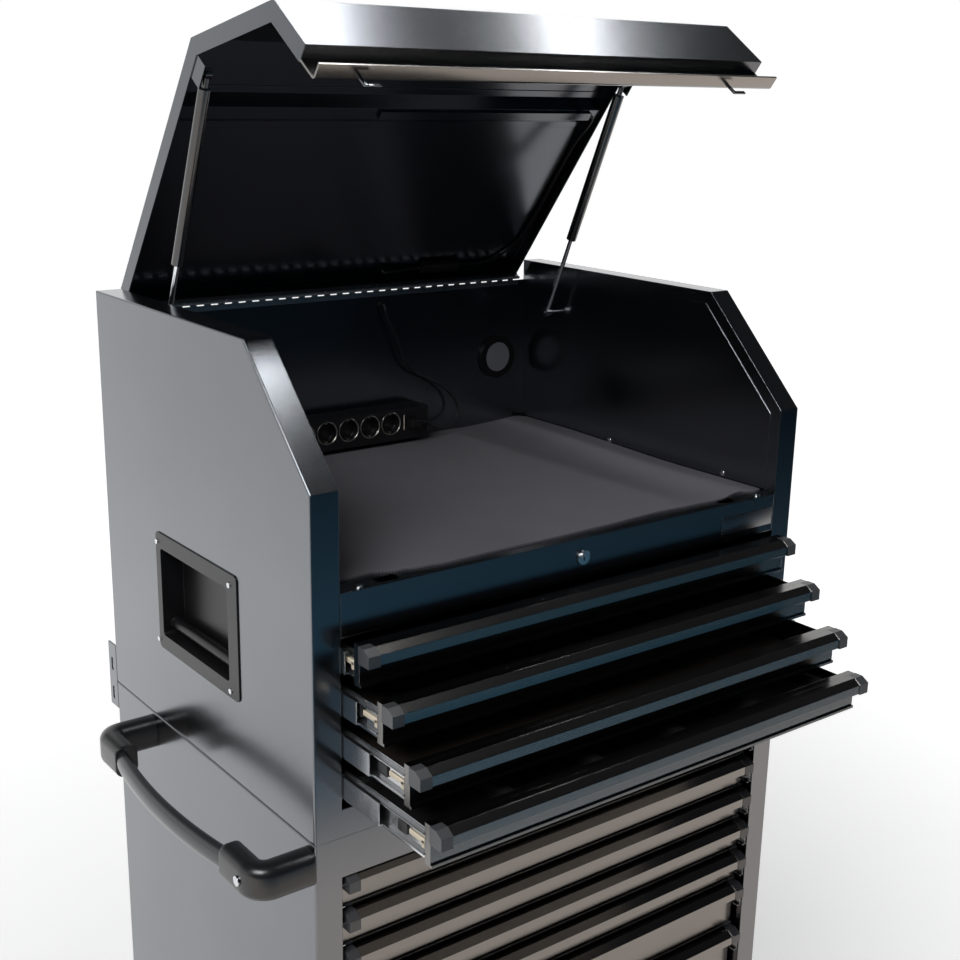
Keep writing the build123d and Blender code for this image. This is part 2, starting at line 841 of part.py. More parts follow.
# Angles that couple the chest to the trolley at the rear corners, slotted in their free leg
with BuildPart() as coupling_brackets:
    for side in (-1, 1):
        edge = side * half_width
        leg_z = (trolley_top - angle_below, trolley_top + angle_above)
        block(span(edge, edge - side * angle_leg), (back, back + angle_sheet), leg_z)
        block(span(edge, edge - side * angle_sheet), (back, back + angle_leg), leg_z)
        for z in (trolley_top - bolt_inset, trolley_top + bolt_inset):
            with BuildSketch(Plane.YZ.offset(edge)) as slot:
                with Locations((back + (angle_leg + angle_sheet) / 2, z)):
                    SlotOverall(slot_length, slot_width, rotation=90)
            extrude(slot.sketch, amount=angle_sheet, both=True, mode=Mode.SUBTRACT)
save(coupling_brackets, "coupling_brackets")


# Drawer slides: an outer channel on the case, a middle channel, and an inner one on the tray
def channel(side, root, reach, height, middle_z, y):
    """One rolled channel: its web at a distance from the case wall, its flanges reaching on."""
    web = side * (bay_half - root)
    flange_end = web - side * reach
    web_end = web - side * (slide_sheet if reach > 0 else -slide_sheet)
    top = middle_z + height / 2
    foot_z = middle_z - height / 2
    block(span(web, web_end), y, (foot_z, top))
    block(span(web, flange_end), y, (top - slide_sheet, top))
    block(span(web, flange_end), y, (foot_z, foot_z + slide_sheet))


mid_height = slide_height - 2 * (slide_sheet + slide_gap)
inner_height = mid_height - 2 * (slide_sheet + slide_gap)


def drawer_slots():
    """Name, slot top, height in units and opening distance of every drawer, from the top down."""
    slots = []
    for group, start, units, opened in (
        ("chest", fascia_foot, chest_drawer_units, chest_extensions),
        ("trolley", trolley_top - top_band, trolley_drawer_units, (0.0,) * len(trolley_drawer_units)),
    ):
        top = start
        for number, size in enumerate(units):
            slots.append((f"{group}_drawer_{number + 1}", top, size, opened[number]))
            top = top - size * drawer_unit
    return slots


def slide_middle(slot_top):
    """Height of the slides' middle line below the top of a drawer's slot."""
    return slot_top - drawer_reveal - slide_drop


with BuildPart() as slide_outers:
    outer_y = (front + slide_setback, front + slide_setback + slide_length)
    for name, slot_top, units, opened in drawer_slots():
        for side in (-1, 1):
            channel(side, 0, outer_flange, slide_height, slide_middle(slot_top), outer_y)
save(slide_outers, "slide_outers")


def slide_mid(slot_top, opened, name):
    """The pair of middle channels of one drawer, which travel half as far as the drawer."""
    start = front + slide_mid_setback - opened / 2
    with BuildPart() as piece:
        for side in (-1, 1):
            mid_y = (start, start + slide_mid_length)
            channel(side, mid_base, mid_flange, mid_height, slide_middle(slot_top), mid_y)
    save(piece, f"{name}_slide_mid")


panel_half = bay_half - panel_gap
tray_half = bay_half - slide_width - tray_clearance
pull_half = bay_half - pull_gap


def tray(slot_top, units, opened):
    """Folded drawer tray with its front panel and the inner slide channels, into the open part."""
    panel_y = closed_panel - opened
    top = slot_top - drawer_reveal
    foot_z = slot_top - units * drawer_unit + drawer_reveal
    panel_x = (-panel_half, panel_half)
    block(panel_x, (panel_y, panel_y + panel_return), (foot_z, top))
    block(
        (-panel_half + tray_sheet, panel_half - tray_sheet),
        (panel_y + tray_sheet, panel_y + panel_return),
        (foot_z + tray_sheet, top - tray_sheet),
        mode=Mode.SUBTRACT,
    )
    block(panel_x, (panel_y - panel_lip_reach, panel_y), (foot_z, foot_z + panel_lip_height))
    tray_y = (panel_y + tray_sheet, panel_y + tray_sheet + tray_length)
    tray_z = (foot_z + tray_bottom_gap, top - tray_top_gap)
    block((-tray_half, tray_half), tray_y, (tray_z[0], tray_z[0] + tray_sheet))
    block((-tray_half, tray_half), (tray_y[1] - tray_sheet, tray_y[1]), tray_z)
    for side in (-1, 1):
        block(span(side * tray_half, side * (tray_half - tray_sheet)), tray_y, tray_z)
        inner_y = (panel_y + panel_return, panel_y + panel_return + slide_inner_length)
        root = bay_half - tray_half
        channel(side, root, -inner_flange, inner_height, slide_middle(slot_top), inner_y)


def pull_rail(slot_top, opened):
    """Pull rail with its two end caps, against the top of a drawer's panel."""
    panel_y = closed_panel - opened
    top = slot_top - drawer_reveal
    lower = top - pull_height
    rail_line = [
        (panel_y, top),
        (panel_y - pull_top, top),
        (panel_y - pull_depth, lower + pull_face),
        (panel_y - pull_depth, lower),
    ]
    rail_half = pull_half - cap_width
    folded(rail_line, pull_sheet, Plane.YZ.offset(-rail_half), 2 * rail_half)
    cap_outline = [
        (panel_y, top),
        (panel_y - pull_top - cap_margin / 2, top),
        (panel_y - pull_depth - cap_margin, lower + pull_face + cap_margin / 2),
        (panel_y - pull_depth - cap_margin, lower - cap_margin),
        (panel_y, lower - cap_margin),
    ]
    for side in (-1, 1):
        slab(cap_outline, span(side * pull_half, side * rail_half))


for name, slot_top, units, opened in drawer_slots():
    if name.startswith("chest"):
        with BuildPart() as drawer_tray:
            tray(slot_top, units, opened)
        save(drawer_tray, f"{name}_tray")
        with BuildPart() as drawer_pull:
            pull_rail(slot_top, opened)
        save(drawer_pull, f"{name}_pull")
    else:
        with BuildPart() as whole_drawer:
            tray(slot_top, units, opened)
            pull_rail(slot_top, opened)
        save(whole_drawer, name)
    slide_mid(slot_top, opened, name)

# Trolley case: double walls, a base pan, a top with its front band, and a back
with BuildPart() as trolley_case:
    trolley_side = (
        (front, trolley_foot),
        (front, trolley_top),
        (back, trolley_top),
        (back, trolley_foot),
    )
    for side in (-1, 1):
        double_wall(trolley_case, side, trolley_side, trolley_foot)
    block((-bay_half, bay_half), (back - sheet, back), (trolley_foot, trolley_top - sheet))
    base_line = (
        (front + rail_return, trolley_foot + bottom_band),
        (front, trolley_foot + bottom_band),
        (front, trolley_foot),
        (back - sheet, trolley_foot),
    )
    folded(base_line, sheet, Plane.YZ.offset(-bay_half), 2 * bay_half)
    top_line = (
        (back, trolley_top),
        (front, trolley_top),
        (front, trolley_top - top_band),
        (front + rail_return, trolley_top - top_band),
    )
    folded(top_line, sheet, Plane.YZ.offset(-bay_half), 2 * bay_half)
save(trolley_case, "trolley_case")

# Push handle: two moulded elbows on the trolley's left wall and an oval bar bowed between them
push_z = (trolley_top - push_drop - push_height / 2, trolley_top - push_drop + push_height / 2)
root_x = -half_width - root_reach
elbow_x = root_x - elbow_reach
mouth_gap = push_span / 2 + root_width / 2 + root_mouth - elbow_length
with BuildPart() as push_handle_elbows:
    for way in (-1, 1):
        root_y = push_middle + way * push_span / 2
        mouth = push_middle + way * mouth_gap
        outer = mouth + way * elbow_length
        block((root_x, -half_width), (root_y - root_width / 2, root_y + root_width / 2), push_z)
        with BuildSketch(Plane.XY.offset(push_z[0])) as elbow:
            with BuildLine():
                Polyline(
                    (root_x, root_y - way * root_width / 2),
                    (root_x, root_y + way * root_width / 2),
                    (root_x - elbow_corner, outer),
                    (elbow_x + elbow_corner, outer),
                    (elbow_x, outer - way * elbow_corner),
                    (elbow_x, mouth),
                    (elbow_x + elbow_thickness, mouth),
                    (elbow_x + elbow_thickness, root_y - way * root_width / 2 - way * elbow_throat),
                    (elbow_x + elbow_thickness + elbow_throat, root_y - way * root_width / 2),
                    close=True,
                )
            make_face()
        extrude(elbow.sketch, amount=push_height)
    long_edges = push_handle_elbows.faces().group_by(Axis.Z)[-1].edges()
    fillet(long_edges, radius=edge_radius)
    low_edges = push_handle_elbows.faces().group_by(Axis.Z)[0].edges()
    fillet(low_edges, radius=edge_radius)
save(push_handle_elbows, "push_handle_elbows")

push_bar_x = elbow_x + elbow_thickness / 2
with BuildPart() as push_handle_bar:
    with BuildLine() as bow:
        ThreePointArc(
            (push_bar_x, push_middle - mouth_gap - elbow_throat, trolley_top - push_drop),
            (push_bar_x - push_bar_bow, push_middle, trolley_top - push_drop),
            (push_bar_x, push_middle + mouth_gap + elbow_throat, trolley_top - push_drop),
        )
    bow_start = bow.wire() ^ 0
    with BuildSketch(Plane(origin=bow_start.position, x_dir=(0, 0, 1), z_dir=bow_start.z_axis.direction)):
        Ellipse(push_bar_half_height, push_bar_depth)
    sweep(path=bow.wire())
    block(
        (elbow_x - elbow_reach, root_x),
        (push_middle - mouth_gap, push_middle + mouth_gap),
        push_z,
        mode=Mode.INTERSECT,
    )
save(push_handle_bar, "push_handle_bar")


# Castors: two that swivel beside the push handle, with brakes, and two fixed ones
def fork_legs(x, y, offset, top):
    """Two fork legs and their axle, about a castor's middle, with the axle offset along X."""
    axle_x = x + offset
    leg = (hub_width / 2 + fork_gap, hub_width / 2 + fork_gap + fork_sheet)
    outline = (
        (x + fork_top_width / 2, top),
        (min(x - fork_top_width / 2, axle_x - brake_shelf), top),
        (min(x - fork_top_width / 2, axle_x - brake_shelf), top - crown_radius / 2),
        (axle_x - fork_foot_width / 2, wheel_radius),
        (axle_x + fork_foot_width / 2, wheel_radius),
    )
    for way in (-1, 1):
        leg_y = span(y + way * leg[0], y + way * leg[1])
        with BuildSketch(Plane.XZ.offset(-leg_y[1])) as profile:
            with BuildLine():
                Polyline(*outline, close=True)
            make_face()
            with Locations((axle_x, wheel_radius)):
                Circle(fork_foot_width / 2)
        extrude(profile.sketch, amount=fork_sheet)
        head_at = (axle_x, y + way * leg[1], wheel_radius)
        rod(head_at, (0, way, 0), axle_head_radius, axle_head_height)
    rod((axle_x, y - leg[1], wheel_radius), (0, 1, 0), axle_radius, 2 * leg[1])


plate_foot = trolley_foot - castor_plate[2]
crown_top = plate_foot - bearing_gap
crown_foot = crown_top - crown_thickness
leg_top = crown_foot + crown_weld
castor_rows = ((-castor_y, "front"), (castor_y, "rear"))
with BuildPart() as castor_plates:
    for y, row in castor_rows:
        for x in (-castor_x, castor_x):
            block(
                (x - castor_plate[0] / 2, x + castor_plate[0] / 2),
                (y - castor_plate[1] / 2, y + castor_plate[1] / 2),
                (plate_foot, trolley_foot),
            )
        pin_end = crown_foot - bearing_gap
        rod((-castor_x, y, plate_foot), (0, 0, -1), king_pin_radius, plate_foot - pin_end)
        rod((-castor_x, y, pin_end), (0, 0, -1), axle_head_radius, axle_head_height)
        fork_legs(castor_x, y, 0, plate_foot)
save(castor_plates, "castor_plates")


def wheel(x, y, name):
    """A wheel with a rounded tyre and a hub bored for its axle, about an axle along Y."""
    with BuildPart() as piece:
        rod((x, y - wheel_width / 2, wheel_radius), (0, 1, 0), wheel_radius, wheel_width)
        fillet(piece.edges(), radius=tyre_round)
        rod((x, y - hub_width / 2, wheel_radius), (0, 1, 0), hub_radius, hub_width)
        bore_start = (x, y - hub_width / 2, wheel_radius)
        rod(bore_start, (0, 1, 0), axle_radius + axle_clearance, hub_width, mode=Mode.SUBTRACT)
    save(piece, name)


for y, row in castor_rows:
    with BuildPart() as castor_fork:
        rod((-castor_x, y, crown_foot), (0, 0, 1), crown_radius, crown_thickness)
        fork_legs(-castor_x, y, -trail, leg_top)
        king_bore = (-castor_x, y, crown_foot)
        rod(king_bore, (0, 0, 1), king_pin_radius + axle_clearance, crown_thickness, mode=Mode.SUBTRACT)
        brake_pin = (-castor_x - brake_pin_offset[0], wheel_radius + brake_pin_offset[1])
        brake_y = y - hub_width / 2 - fork_gap
        rod((brake_pin[0], brake_y, brake_pin[1]), (0, 1, 0), brake_pin_radius, hub_width + 2 * fork_gap)
    save(castor_fork, f"castor_fork_{row}")

    with BuildPart() as brake_lever:
        lever_plane = Plane(
            origin=(brake_pin[0], y + brake_width / 2, brake_pin[1]),
            x_dir=(-cos(radians(brake_slope)), 0, -sin(radians(brake_slope))),
            z_dir=(0, -1, 0),
        )
        with BuildSketch(lever_plane) as lever:
            Circle(brake_boss_radius)
            with Locations((brake_arm / 2, 0)):
                Rectangle(brake_arm, brake_thickness)
            Circle(brake_pin_radius + pin_clearance, mode=Mode.SUBTRACT)
        extrude(lever.sketch, amount=brake_width)
    save(brake_lever, f"brake_lever_{row}")

    wheel(-castor_x - trail, y, f"wheel_swivel_{row}")
    wheel(castor_x, y, f"wheel_fixed_{row}")

# Lock: a ring and keyed barrel through the fascia, with a cam behind it
lock_z = worktop - lock_below_worktop
with BuildPart() as lock_barrel:
    ring_start = front - lock_clearance - lock_ring_height
    rod((lock_x, ring_start, lock_z), (0, 1, 0), lock_radius + lock_rim, lock_ring_height)
    rod((lock_x, ring_start, lock_z), (0, 1, 0), lock_radius, lock_length)
    block(
        (lock_x - cam_width / 2, lock_x + cam_length),
        (ring_start + lock_length - cam_thickness, ring_start + lock_length),
        (lock_z - cam_width / 2, lock_z + cam_width / 2),
    )
    block(
        (lock_x - keyway[0] / 2, lock_x + keyway[0] / 2),
        (ring_start, ring_start + keyway[2]),
        (lock_z - keyway[1] / 2, lock_z + keyway[1] / 2),
        mode=Mode.SUBTRACT,
    )
save(lock_barrel, "lock_barrel")


# Screws, rivets, bolts and the studs that carry the struts' feet
with BuildPart() as fasteners:
    for x in (-worktop_screw_x, worktop_screw_x):
        rod((x, front + worktop_screw_inset, worktop), (0, 0, 1), screw_radius, screw_height)
    for side in (-1, 1):
        flange_face = side * (half_width + handle_flange)
        for y, z in handle_rivets:
            rod((flange_face, y, trolley_top + z), (side, 0, 0), rivet_radius, rivet_height)
        for z in (trolley_top - bolt_inset, trolley_top + bolt_inset):
            bolt_x = side * (half_width - bolt_from_edge)
            rod((bolt_x, back + angle_sheet, z), (0, 1, 0), bolt_radius, bolt_height)
        for y, z in wall_screws:
            liner_face = side * (bay_half - liner_sheet)
            rod((liner_face, y, trolley_top + z), (-side, 0, 0), screw_radius, wall_screw_height)
        stud_root = side * (bay_half - liner_sheet)
        stud_tip = strut_x - eye_width / 2 - stud_gap
        rod((stud_root, *foot), (-side, 0, 0), stud_radius, bay_half - liner_sheet - stud_tip)
    for x in (-castor_x, castor_x):
        for y, row in castor_rows:
            for dx in (-castor_bolt_spacing[0] / 2, castor_bolt_spacing[0] / 2):
                for dy in (-castor_bolt_spacing[1] / 2, castor_bolt_spacing[1] / 2):
                    bolt_at = (x + dx, y + dy, plate_foot)
                    rod(bolt_at, (0, 0, -1), castor_bolt_radius, castor_bolt_height)
    elbow_screw_y = push_middle - push_span / 2
    elbow_face = (elbow_x, elbow_screw_y, trolley_top - push_drop)
    rod(elbow_face, (-1, 0, 0), push_screw_radius, screw_height)
save(fasteners, "fasteners")
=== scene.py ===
"""Looks of the tool trolley with its top chest, piece by piece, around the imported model."""
import math

import bmesh
import bpy
from mathutils import Matrix, Vector


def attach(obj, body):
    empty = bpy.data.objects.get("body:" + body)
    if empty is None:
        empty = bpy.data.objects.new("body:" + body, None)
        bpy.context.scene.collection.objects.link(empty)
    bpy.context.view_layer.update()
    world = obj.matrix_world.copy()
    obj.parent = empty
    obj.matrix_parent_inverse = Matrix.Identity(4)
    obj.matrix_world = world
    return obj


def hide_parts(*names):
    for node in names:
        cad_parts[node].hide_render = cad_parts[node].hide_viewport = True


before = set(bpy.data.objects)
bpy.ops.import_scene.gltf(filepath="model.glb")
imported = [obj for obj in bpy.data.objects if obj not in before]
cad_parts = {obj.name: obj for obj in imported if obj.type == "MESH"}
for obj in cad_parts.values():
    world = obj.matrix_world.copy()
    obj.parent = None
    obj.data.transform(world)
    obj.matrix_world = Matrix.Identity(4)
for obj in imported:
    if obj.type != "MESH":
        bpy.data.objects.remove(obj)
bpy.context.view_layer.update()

# Camera: it stands to the left of the cabinet, a little above its worktop, and looks down. Places
# are given in millimetres about the middle of the 900 by 640 cabinet, with heights from the joint
# between the trolley and the chest.
CABINET_MIDDLE = (53.0, 90.0)
JOINT_HEIGHT = 887.65


def at(x, y, z):
    """A place in the frame, from millimetres about the cabinet's middle and the joint."""
    return Vector((
        (x + CABINET_MIDDLE[0]) / 1000,
        (y + CABINET_MIDDLE[1]) / 1000,
        (z + JOINT_HEIGHT) / 1000,
    ))


camera_yaw = math.radians(35.797)
camera_pitch = math.radians(15.36)
camera_roll = math.radians(0.517)
ahead = Vector((
    math.sin(camera_yaw) * math.cos(camera_pitch),
    math.cos(camera_yaw) * math.cos(camera_pitch),
    -math.sin(camera_pitch),
))
level_right = Vector((math.cos(camera_yaw), -math.sin(camera_yaw), 0))
level_up = level_right.cross(ahead)
right = level_right * math.cos(camera_roll) + level_up * math.sin(camera_roll)
up = level_up * math.cos(camera_roll) - level_right * math.sin(camera_roll)
camera_data = bpy.data.cameras.new("studio_camera")
camera_data.sensor_width = 36
camera_data.lens = 50.52
camera_data.shift_x = 0.0542
camera_data.shift_y = -0.0015
camera = bpy.data.objects.new("studio_camera", camera_data)
turn = Matrix((right, up, -ahead)).transposed().to_4x4()
camera.matrix_world = Matrix.Translation(at(-1249.75, -1673.46, 929.2)) @ turn
bpy.context.collection.objects.link(camera)
bpy.context.scene.camera = camera
bpy.context.scene.view_settings.view_transform = "Standard"


# Floor: a pale seamless sheet of printed paper, which ends just in front of the trolley, where
# the dark of the studio begins. In a gloss its front is painted a little warmer, as a painted
# glow of the front lamps.
def shade(colour):
    """An sRGB hex colour as linear red, green, blue and alpha."""
    parts = [int(colour[i:i + 2], 16) / 255 for i in (1, 3, 5)]
    return [c / 12.92 if c <= 0.04045 else ((c + 0.055) / 1.055) ** 2.4 for c in parts] + [1.0]


def node(tree, kind, links=(), **settings):
    """Adds a node: settings by attribute or socket name, links as (socket, node, its output)."""
    made = tree.nodes.new(kind)
    for name, value in settings.items():
        if hasattr(made, name):
            setattr(made, name, value)
        else:
            made.inputs[name.replace("_", " ")].default_value = value
    for socket, source, output in links:
        tree.links.new(source.outputs[output], made.inputs[socket])
    return made


def finish_of(name, colour, roughness, metallic=0.0, coat=0.0):
    """A new material with its shader, its tree and the object's own coordinates."""
    material = bpy.data.materials.new(name)
    material.use_nodes = True
    tree = material.node_tree
    shader = tree.nodes["Principled BSDF"]
    shader.inputs["Base Color"].default_value = shade(colour)
    shader.inputs["Roughness"].default_value = roughness
    shader.inputs["Metallic"].default_value = metallic
    shader.inputs["Coat Weight"].default_value = coat
    shader.inputs["Coat Roughness"].default_value = 0.2
    return material, tree, shader, node(tree, "ShaderNodeTexCoord")


floor_front, floor_back, floor_middle, floor_half = -1.62, 16.0, 1.0, 14.0
bm = bmesh.new()
bmesh.ops.create_grid(bm, x_segments=8, y_segments=8, size=1)
bmesh.ops.scale(bm, vec=(floor_half, (floor_back - floor_front) / 2, 1), verts=bm.verts)
bmesh.ops.translate(bm, vec=(floor_middle, (floor_back + floor_front) / 2, 0), verts=bm.verts)
mesh = bpy.data.meshes.new("floor")
bm.to_mesh(mesh)
bm.free()
floor = bpy.data.objects.new("floor", mesh)
bpy.context.collection.objects.link(floor)
paper, tree, shader, places = finish_of("studio_paper", "#ECECEC", 0.9)
across = node(tree, "ShaderNodeSeparateXYZ", [("Vector", places, "Object")])
nearness = node(tree, "ShaderNodeMapRange", [("Value", across, "Y")], From_Min=-0.1, From_Max=-0.5)
fibre = node(tree, "ShaderNodeTexNoise", [("Vector", places, "Object")], Scale=3.0)
sight = node(tree, "ShaderNodeLightPath")
# Painted lamp glow: only in a gloss, the paper near its front edge is tinted warm
painted_lamp_warmth = node(tree, "ShaderNodeMath", [(0, nearness, "Result"), (1, sight, "Is Glossy Ray")],
              operation="MULTIPLY")
tint = node(tree, "ShaderNodeMix", [(0, painted_lamp_warmth, "Value")], data_type="RGBA")
tint.inputs[6].default_value = shade("#ECECEC")
tint.inputs[7].default_value = shade("#F2E8DF")
mottled = node(tree, "ShaderNodeMix", [(0, fibre, "Fac"), (6, tint, 2)], data_type="RGBA",
               blend_type="MULTIPLY")
mottled.inputs[7].default_value = (0.98, 0.98, 0.98, 1)
tree.links.new(mottled.outputs[2], shader.inputs["Base Color"])
# Seen by the camera or in a gloss it glows, more so far off, so that it is white beyond its shadow
noticed = node(tree, "ShaderNodeMath", [(0, sight, "Is Camera Ray"), (1, sight, "Is Glossy Ray")],
               operation="MAXIMUM")
distance = node(tree, "ShaderNodeVectorMath", [(0, places, "Object")], operation="LENGTH")
evenness = node(tree, "ShaderNodeMapRange", [("Value", distance, "Value")],
                From_Min=1.0, From_Max=3.2, To_Min=0.5, To_Max=1.1)
lift = node(tree, "ShaderNodeMath", [(0, noticed, "Value"), (1, evenness, "Result")],
            operation="MULTIPLY")
glow = node(tree, "ShaderNodeEmission", [("Color", mottled, 2), ("Strength", lift, "Value")])
both = node(tree, "ShaderNodeAddShader", [(0, shader, "BSDF"), (1, glow, "Emission")])
tree.links.new(both.outputs[0], tree.nodes["Material Output"].inputs["Surface"])
mesh.materials.append(paper)

# Room: white walls behind and at the sides, a dark teal front and a dark ceiling, which the gloss
# of the trolley mirrors. The camera itself sees plain white behind the trolley.
world = bpy.data.worlds.new("studio_world")
bpy.context.scene.world = world
world.use_nodes = True
sky = world.node_tree
sky.nodes.clear()
ray = node(sky, "ShaderNodeLightPath")
direction = node(sky, "ShaderNodeTexCoord")
bearing = node(sky, "ShaderNodeSeparateXYZ", [("Vector", direction, "Generated")])
steepness = node(sky, "ShaderNodeMapRange", [("Value", bearing, "Z")],
                 From_Min=-0.22, From_Max=-0.46)
teal = node(sky, "ShaderNodeMix", [(0, steepness, "Result")], data_type="RGBA")
teal.inputs[6].default_value = (0.006, 0.012, 0.018, 1)
teal.inputs[7].default_value = (0.085, 0.22, 0.33, 1)
behind = node(sky, "ShaderNodeMapRange", [("Value", bearing, "Y")], From_Min=-0.3, From_Max=0.1)
walls = node(sky, "ShaderNodeMix", [(0, behind, "Result"), (6, teal, 2)], data_type="RGBA")
walls.inputs[7].default_value = (1, 1, 1, 1)
overhead = node(sky, "ShaderNodeMapRange", [("Value", bearing, "Z")], From_Min=0.3, From_Max=0.55)
room = node(sky, "ShaderNodeMix", [(0, overhead, "Result"), (6, walls, 2)], data_type="RGBA")
room.inputs[7].default_value = (0.02, 0.021, 0.024, 1)
picture = node(sky, "ShaderNodeMix", [(0, ray, "Is Camera Ray"), (6, room, 2)], data_type="RGBA")
picture.inputs[7].default_value = (1, 1, 1, 1)
glow = node(sky, "ShaderNodeBackground", [("Color", picture, 2)], Strength=1.0)
node(sky, "ShaderNodeOutputWorld", [("Surface", glow, "Background")])


# Lamps: a large softbox up at the front left gives the plain light. Two narrow strips overhead
# are what the lid's front and the chest's left slope mirror as soft white patches.
def softbox(name, place, target, width, height, power):
    """A soft studio lamp, aimed from one place at another."""
    lamp = bpy.data.lights.new(name, "AREA")
    lamp.shape = "RECTANGLE"
    lamp.size = width
    lamp.size_y = height
    lamp.energy = power
    holder = bpy.data.objects.new(name, lamp)
    aim = (Vector(target) - Vector(place)).to_track_quat("-Z", "Y")
    holder.matrix_world = Matrix.Translation(place) @ aim.to_matrix().to_4x4()
    bpy.context.collection.objects.link(holder)


softbox("key_softbox", (-2.3, -1.5, 3.6), (0, 0, 1.2), 1.8, 1.8, 105)
softbox("left_strip", (0.71, 0.08, 3.5), (0.71, 0.08, 0), 0.16, 1.6, 13)
softbox("right_strip", (1.6, 0.6, 3.5), (1.6, 0.6, 0), 0.14, 1.2, 9)

# Lamp cord: black rubber, 4 mm thick. One length climbs the back wall from the charger plug, the
# other crosses the lid through its switch to the lamp. Both are drawn as smooth flexible lines.
cord_thickness = 4.0
hinge_line = (315.5, 621.3)
lid_opened = math.radians(53.8)


def turned_back(y, z):
    """A closed-lid place (y, z), in millimetres, with the lid open."""
    along, rise = y - hinge_line[0], z - hinge_line[1]
    return (
        hinge_line[0] + along * math.cos(lid_opened) + rise * math.sin(lid_opened),
        hinge_line[1] - along * math.sin(lid_opened) + rise * math.cos(lid_opened),
    )


def under_skin(x, y, below=4.0):
    """A place on the open lid, below its inner skin, which drops 9 mm in 475 on its flat top."""
    skin_height = 658.5 - (320 - y) * 9 / 475
    return at(x, *turned_back(y, skin_height - below))


def flexible_line(name, points, material):
    """A round cord on one smooth line."""
    line = bpy.data.curves.new(name, "CURVE")
    line.dimensions = "3D"
    line.bevel_depth = cord_thickness / 2000
    line.bevel_resolution = 5
    line.resolution_u = 8
    line.use_fill_caps = True
    spline = line.splines.new("NURBS")
    spline.points.add(len(points) - 1)
    for place, point in zip(spline.points, points):
        place.co = (*point, 1)
    spline.order_u = 3
    spline.use_endpoint_u = True
    cord = bpy.data.objects.new(name, line)
    bpy.context.collection.objects.link(cord)
    cord.data.materials.append(material)
    return cord


# Extruded rubber: dull black, with a faint mottle about a millimetre wide
cord_rubber, tree, shader, places = finish_of("cord_rubber", "#101011", 0.45)
mottle = node(tree, "ShaderNodeTexNoise", [("Vector", places, "Object")], Scale=900.0)
ridge = node(tree, "ShaderNodeBump", [("Height", mottle, "Fac")], Strength=0.15, Distance=0.0002)
tree.links.new(ridge.outputs["Normal"], shader.inputs["Normal"])

lower_points = [
    at(127, 261, 383), at(137, 261, 383), at(154, 264, 372), at(172, 271, 362), at(196, 282, 355),
    at(226, 291, 362), at(240, 296, 380), at(234, 299, 404), at(210, 300, 430), at(176, 301, 449),
    at(139, 302, 466), at(118, 303, 492), at(108, 303, 525), at(91, 305, 556), at(82, 306, 577),
    at(81, 307, 592), at(81, 314.5, 592),
]
lamp_lead_lower = flexible_line("lamp_lead_lower", lower_points, cord_rubber)
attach(lamp_lead_lower, "cabinet")
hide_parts("lamp_cord_lower")

lead_y = 303.0
lamp_row = -45.0
lamp_below = 18.6
upper_points = [
    under_skin(92, lead_y, 4), under_skin(92, lead_y, 13), under_skin(108, lead_y - 1, 11),
    under_skin(130, lead_y + 1, 8), under_skin(155, lead_y, 5.5), under_skin(269, lead_y, 5.5),
    under_skin(292, lead_y - 1, 5), under_skin(318, lead_y - 1), under_skin(345, 294),
    under_skin(366, 275), under_skin(380, 250), under_skin(386, 215), under_skin(387.5, 170),
    under_skin(387, 125), under_skin(388, 80), under_skin(387, 42, 5), under_skin(387, 14, 8),
    under_skin(386, -9, 14), under_skin(385, -30, lamp_below),
    under_skin(383, lamp_row, lamp_below), under_skin(372, lamp_row, lamp_below),
]
lamp_lead_upper = flexible_line("lamp_lead_upper", upper_points, cord_rubber)
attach(lamp_lead_upper, "lid")
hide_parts("lamp_cord_upper")


# Cases: the chest, the trolley and the worktop are folded steel sheet, and bolted angles at the
# rear corners hold them together. Their gloss powder coat is black with fine metal in it. It
# mirrors the room softly, has an orange peel 1.6 mm wide, and its folds catch the light.
def finish(name, colour, second, roughness, metallic, coat, grain, relief, fold):
    """A finish that drifts between two colours, with a relief of grain mm and folds of fold mm."""
    material, tree, shader, places = finish_of(name, colour, roughness, metallic, coat)
    drift = node(tree, "ShaderNodeTexNoise", [("Vector", places, "Object")], Scale=6.0, Detail=4.0)
    tone = node(tree, "ShaderNodeMix", [(0, drift, "Fac")], data_type="RGBA")
    tone.inputs[6].default_value = shade(colour)
    tone.inputs[7].default_value = shade(second)
    tree.links.new(tone.outputs[2], shader.inputs["Base Color"])
    rub = node(tree, "ShaderNodeMapRange", [("Value", drift, "Fac")],
               To_Min=roughness * 0.85, To_Max=roughness * 1.15)
    tree.links.new(rub.outputs["Result"], shader.inputs["Roughness"])
    peel = node(tree, "ShaderNodeTexNoise", [("Vector", places, "Object")], Scale=1000 / grain,
                Detail=1.0)
    folds = node(tree, "ShaderNodeBevel", samples=4, Radius=fold / 1000)
    skin = node(tree, "ShaderNodeBump", [("Height", peel, "Fac"), ("Normal", folds, "Normal")],
                Strength=relief, Distance=0.0008)
    tree.links.new(skin.outputs["Normal"], shader.inputs["Normal"])
    return material, tree, shader, places, tone, skin


def wear(material, *names):
    """Gives CAD nodes their finish."""
    for name in names:
        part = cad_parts[name]
        part.data.materials.clear()
        part.data.materials.append(material)


case_coat, *_ = finish("gloss_powder_coat", "#73767A", "#6C6F74", 0.2, 1.0, 0.4, 1.6, 0.05, 1.4)
wear(case_coat, "chest_case", "trolley_case", "worktop_tray", "coupling_brackets")


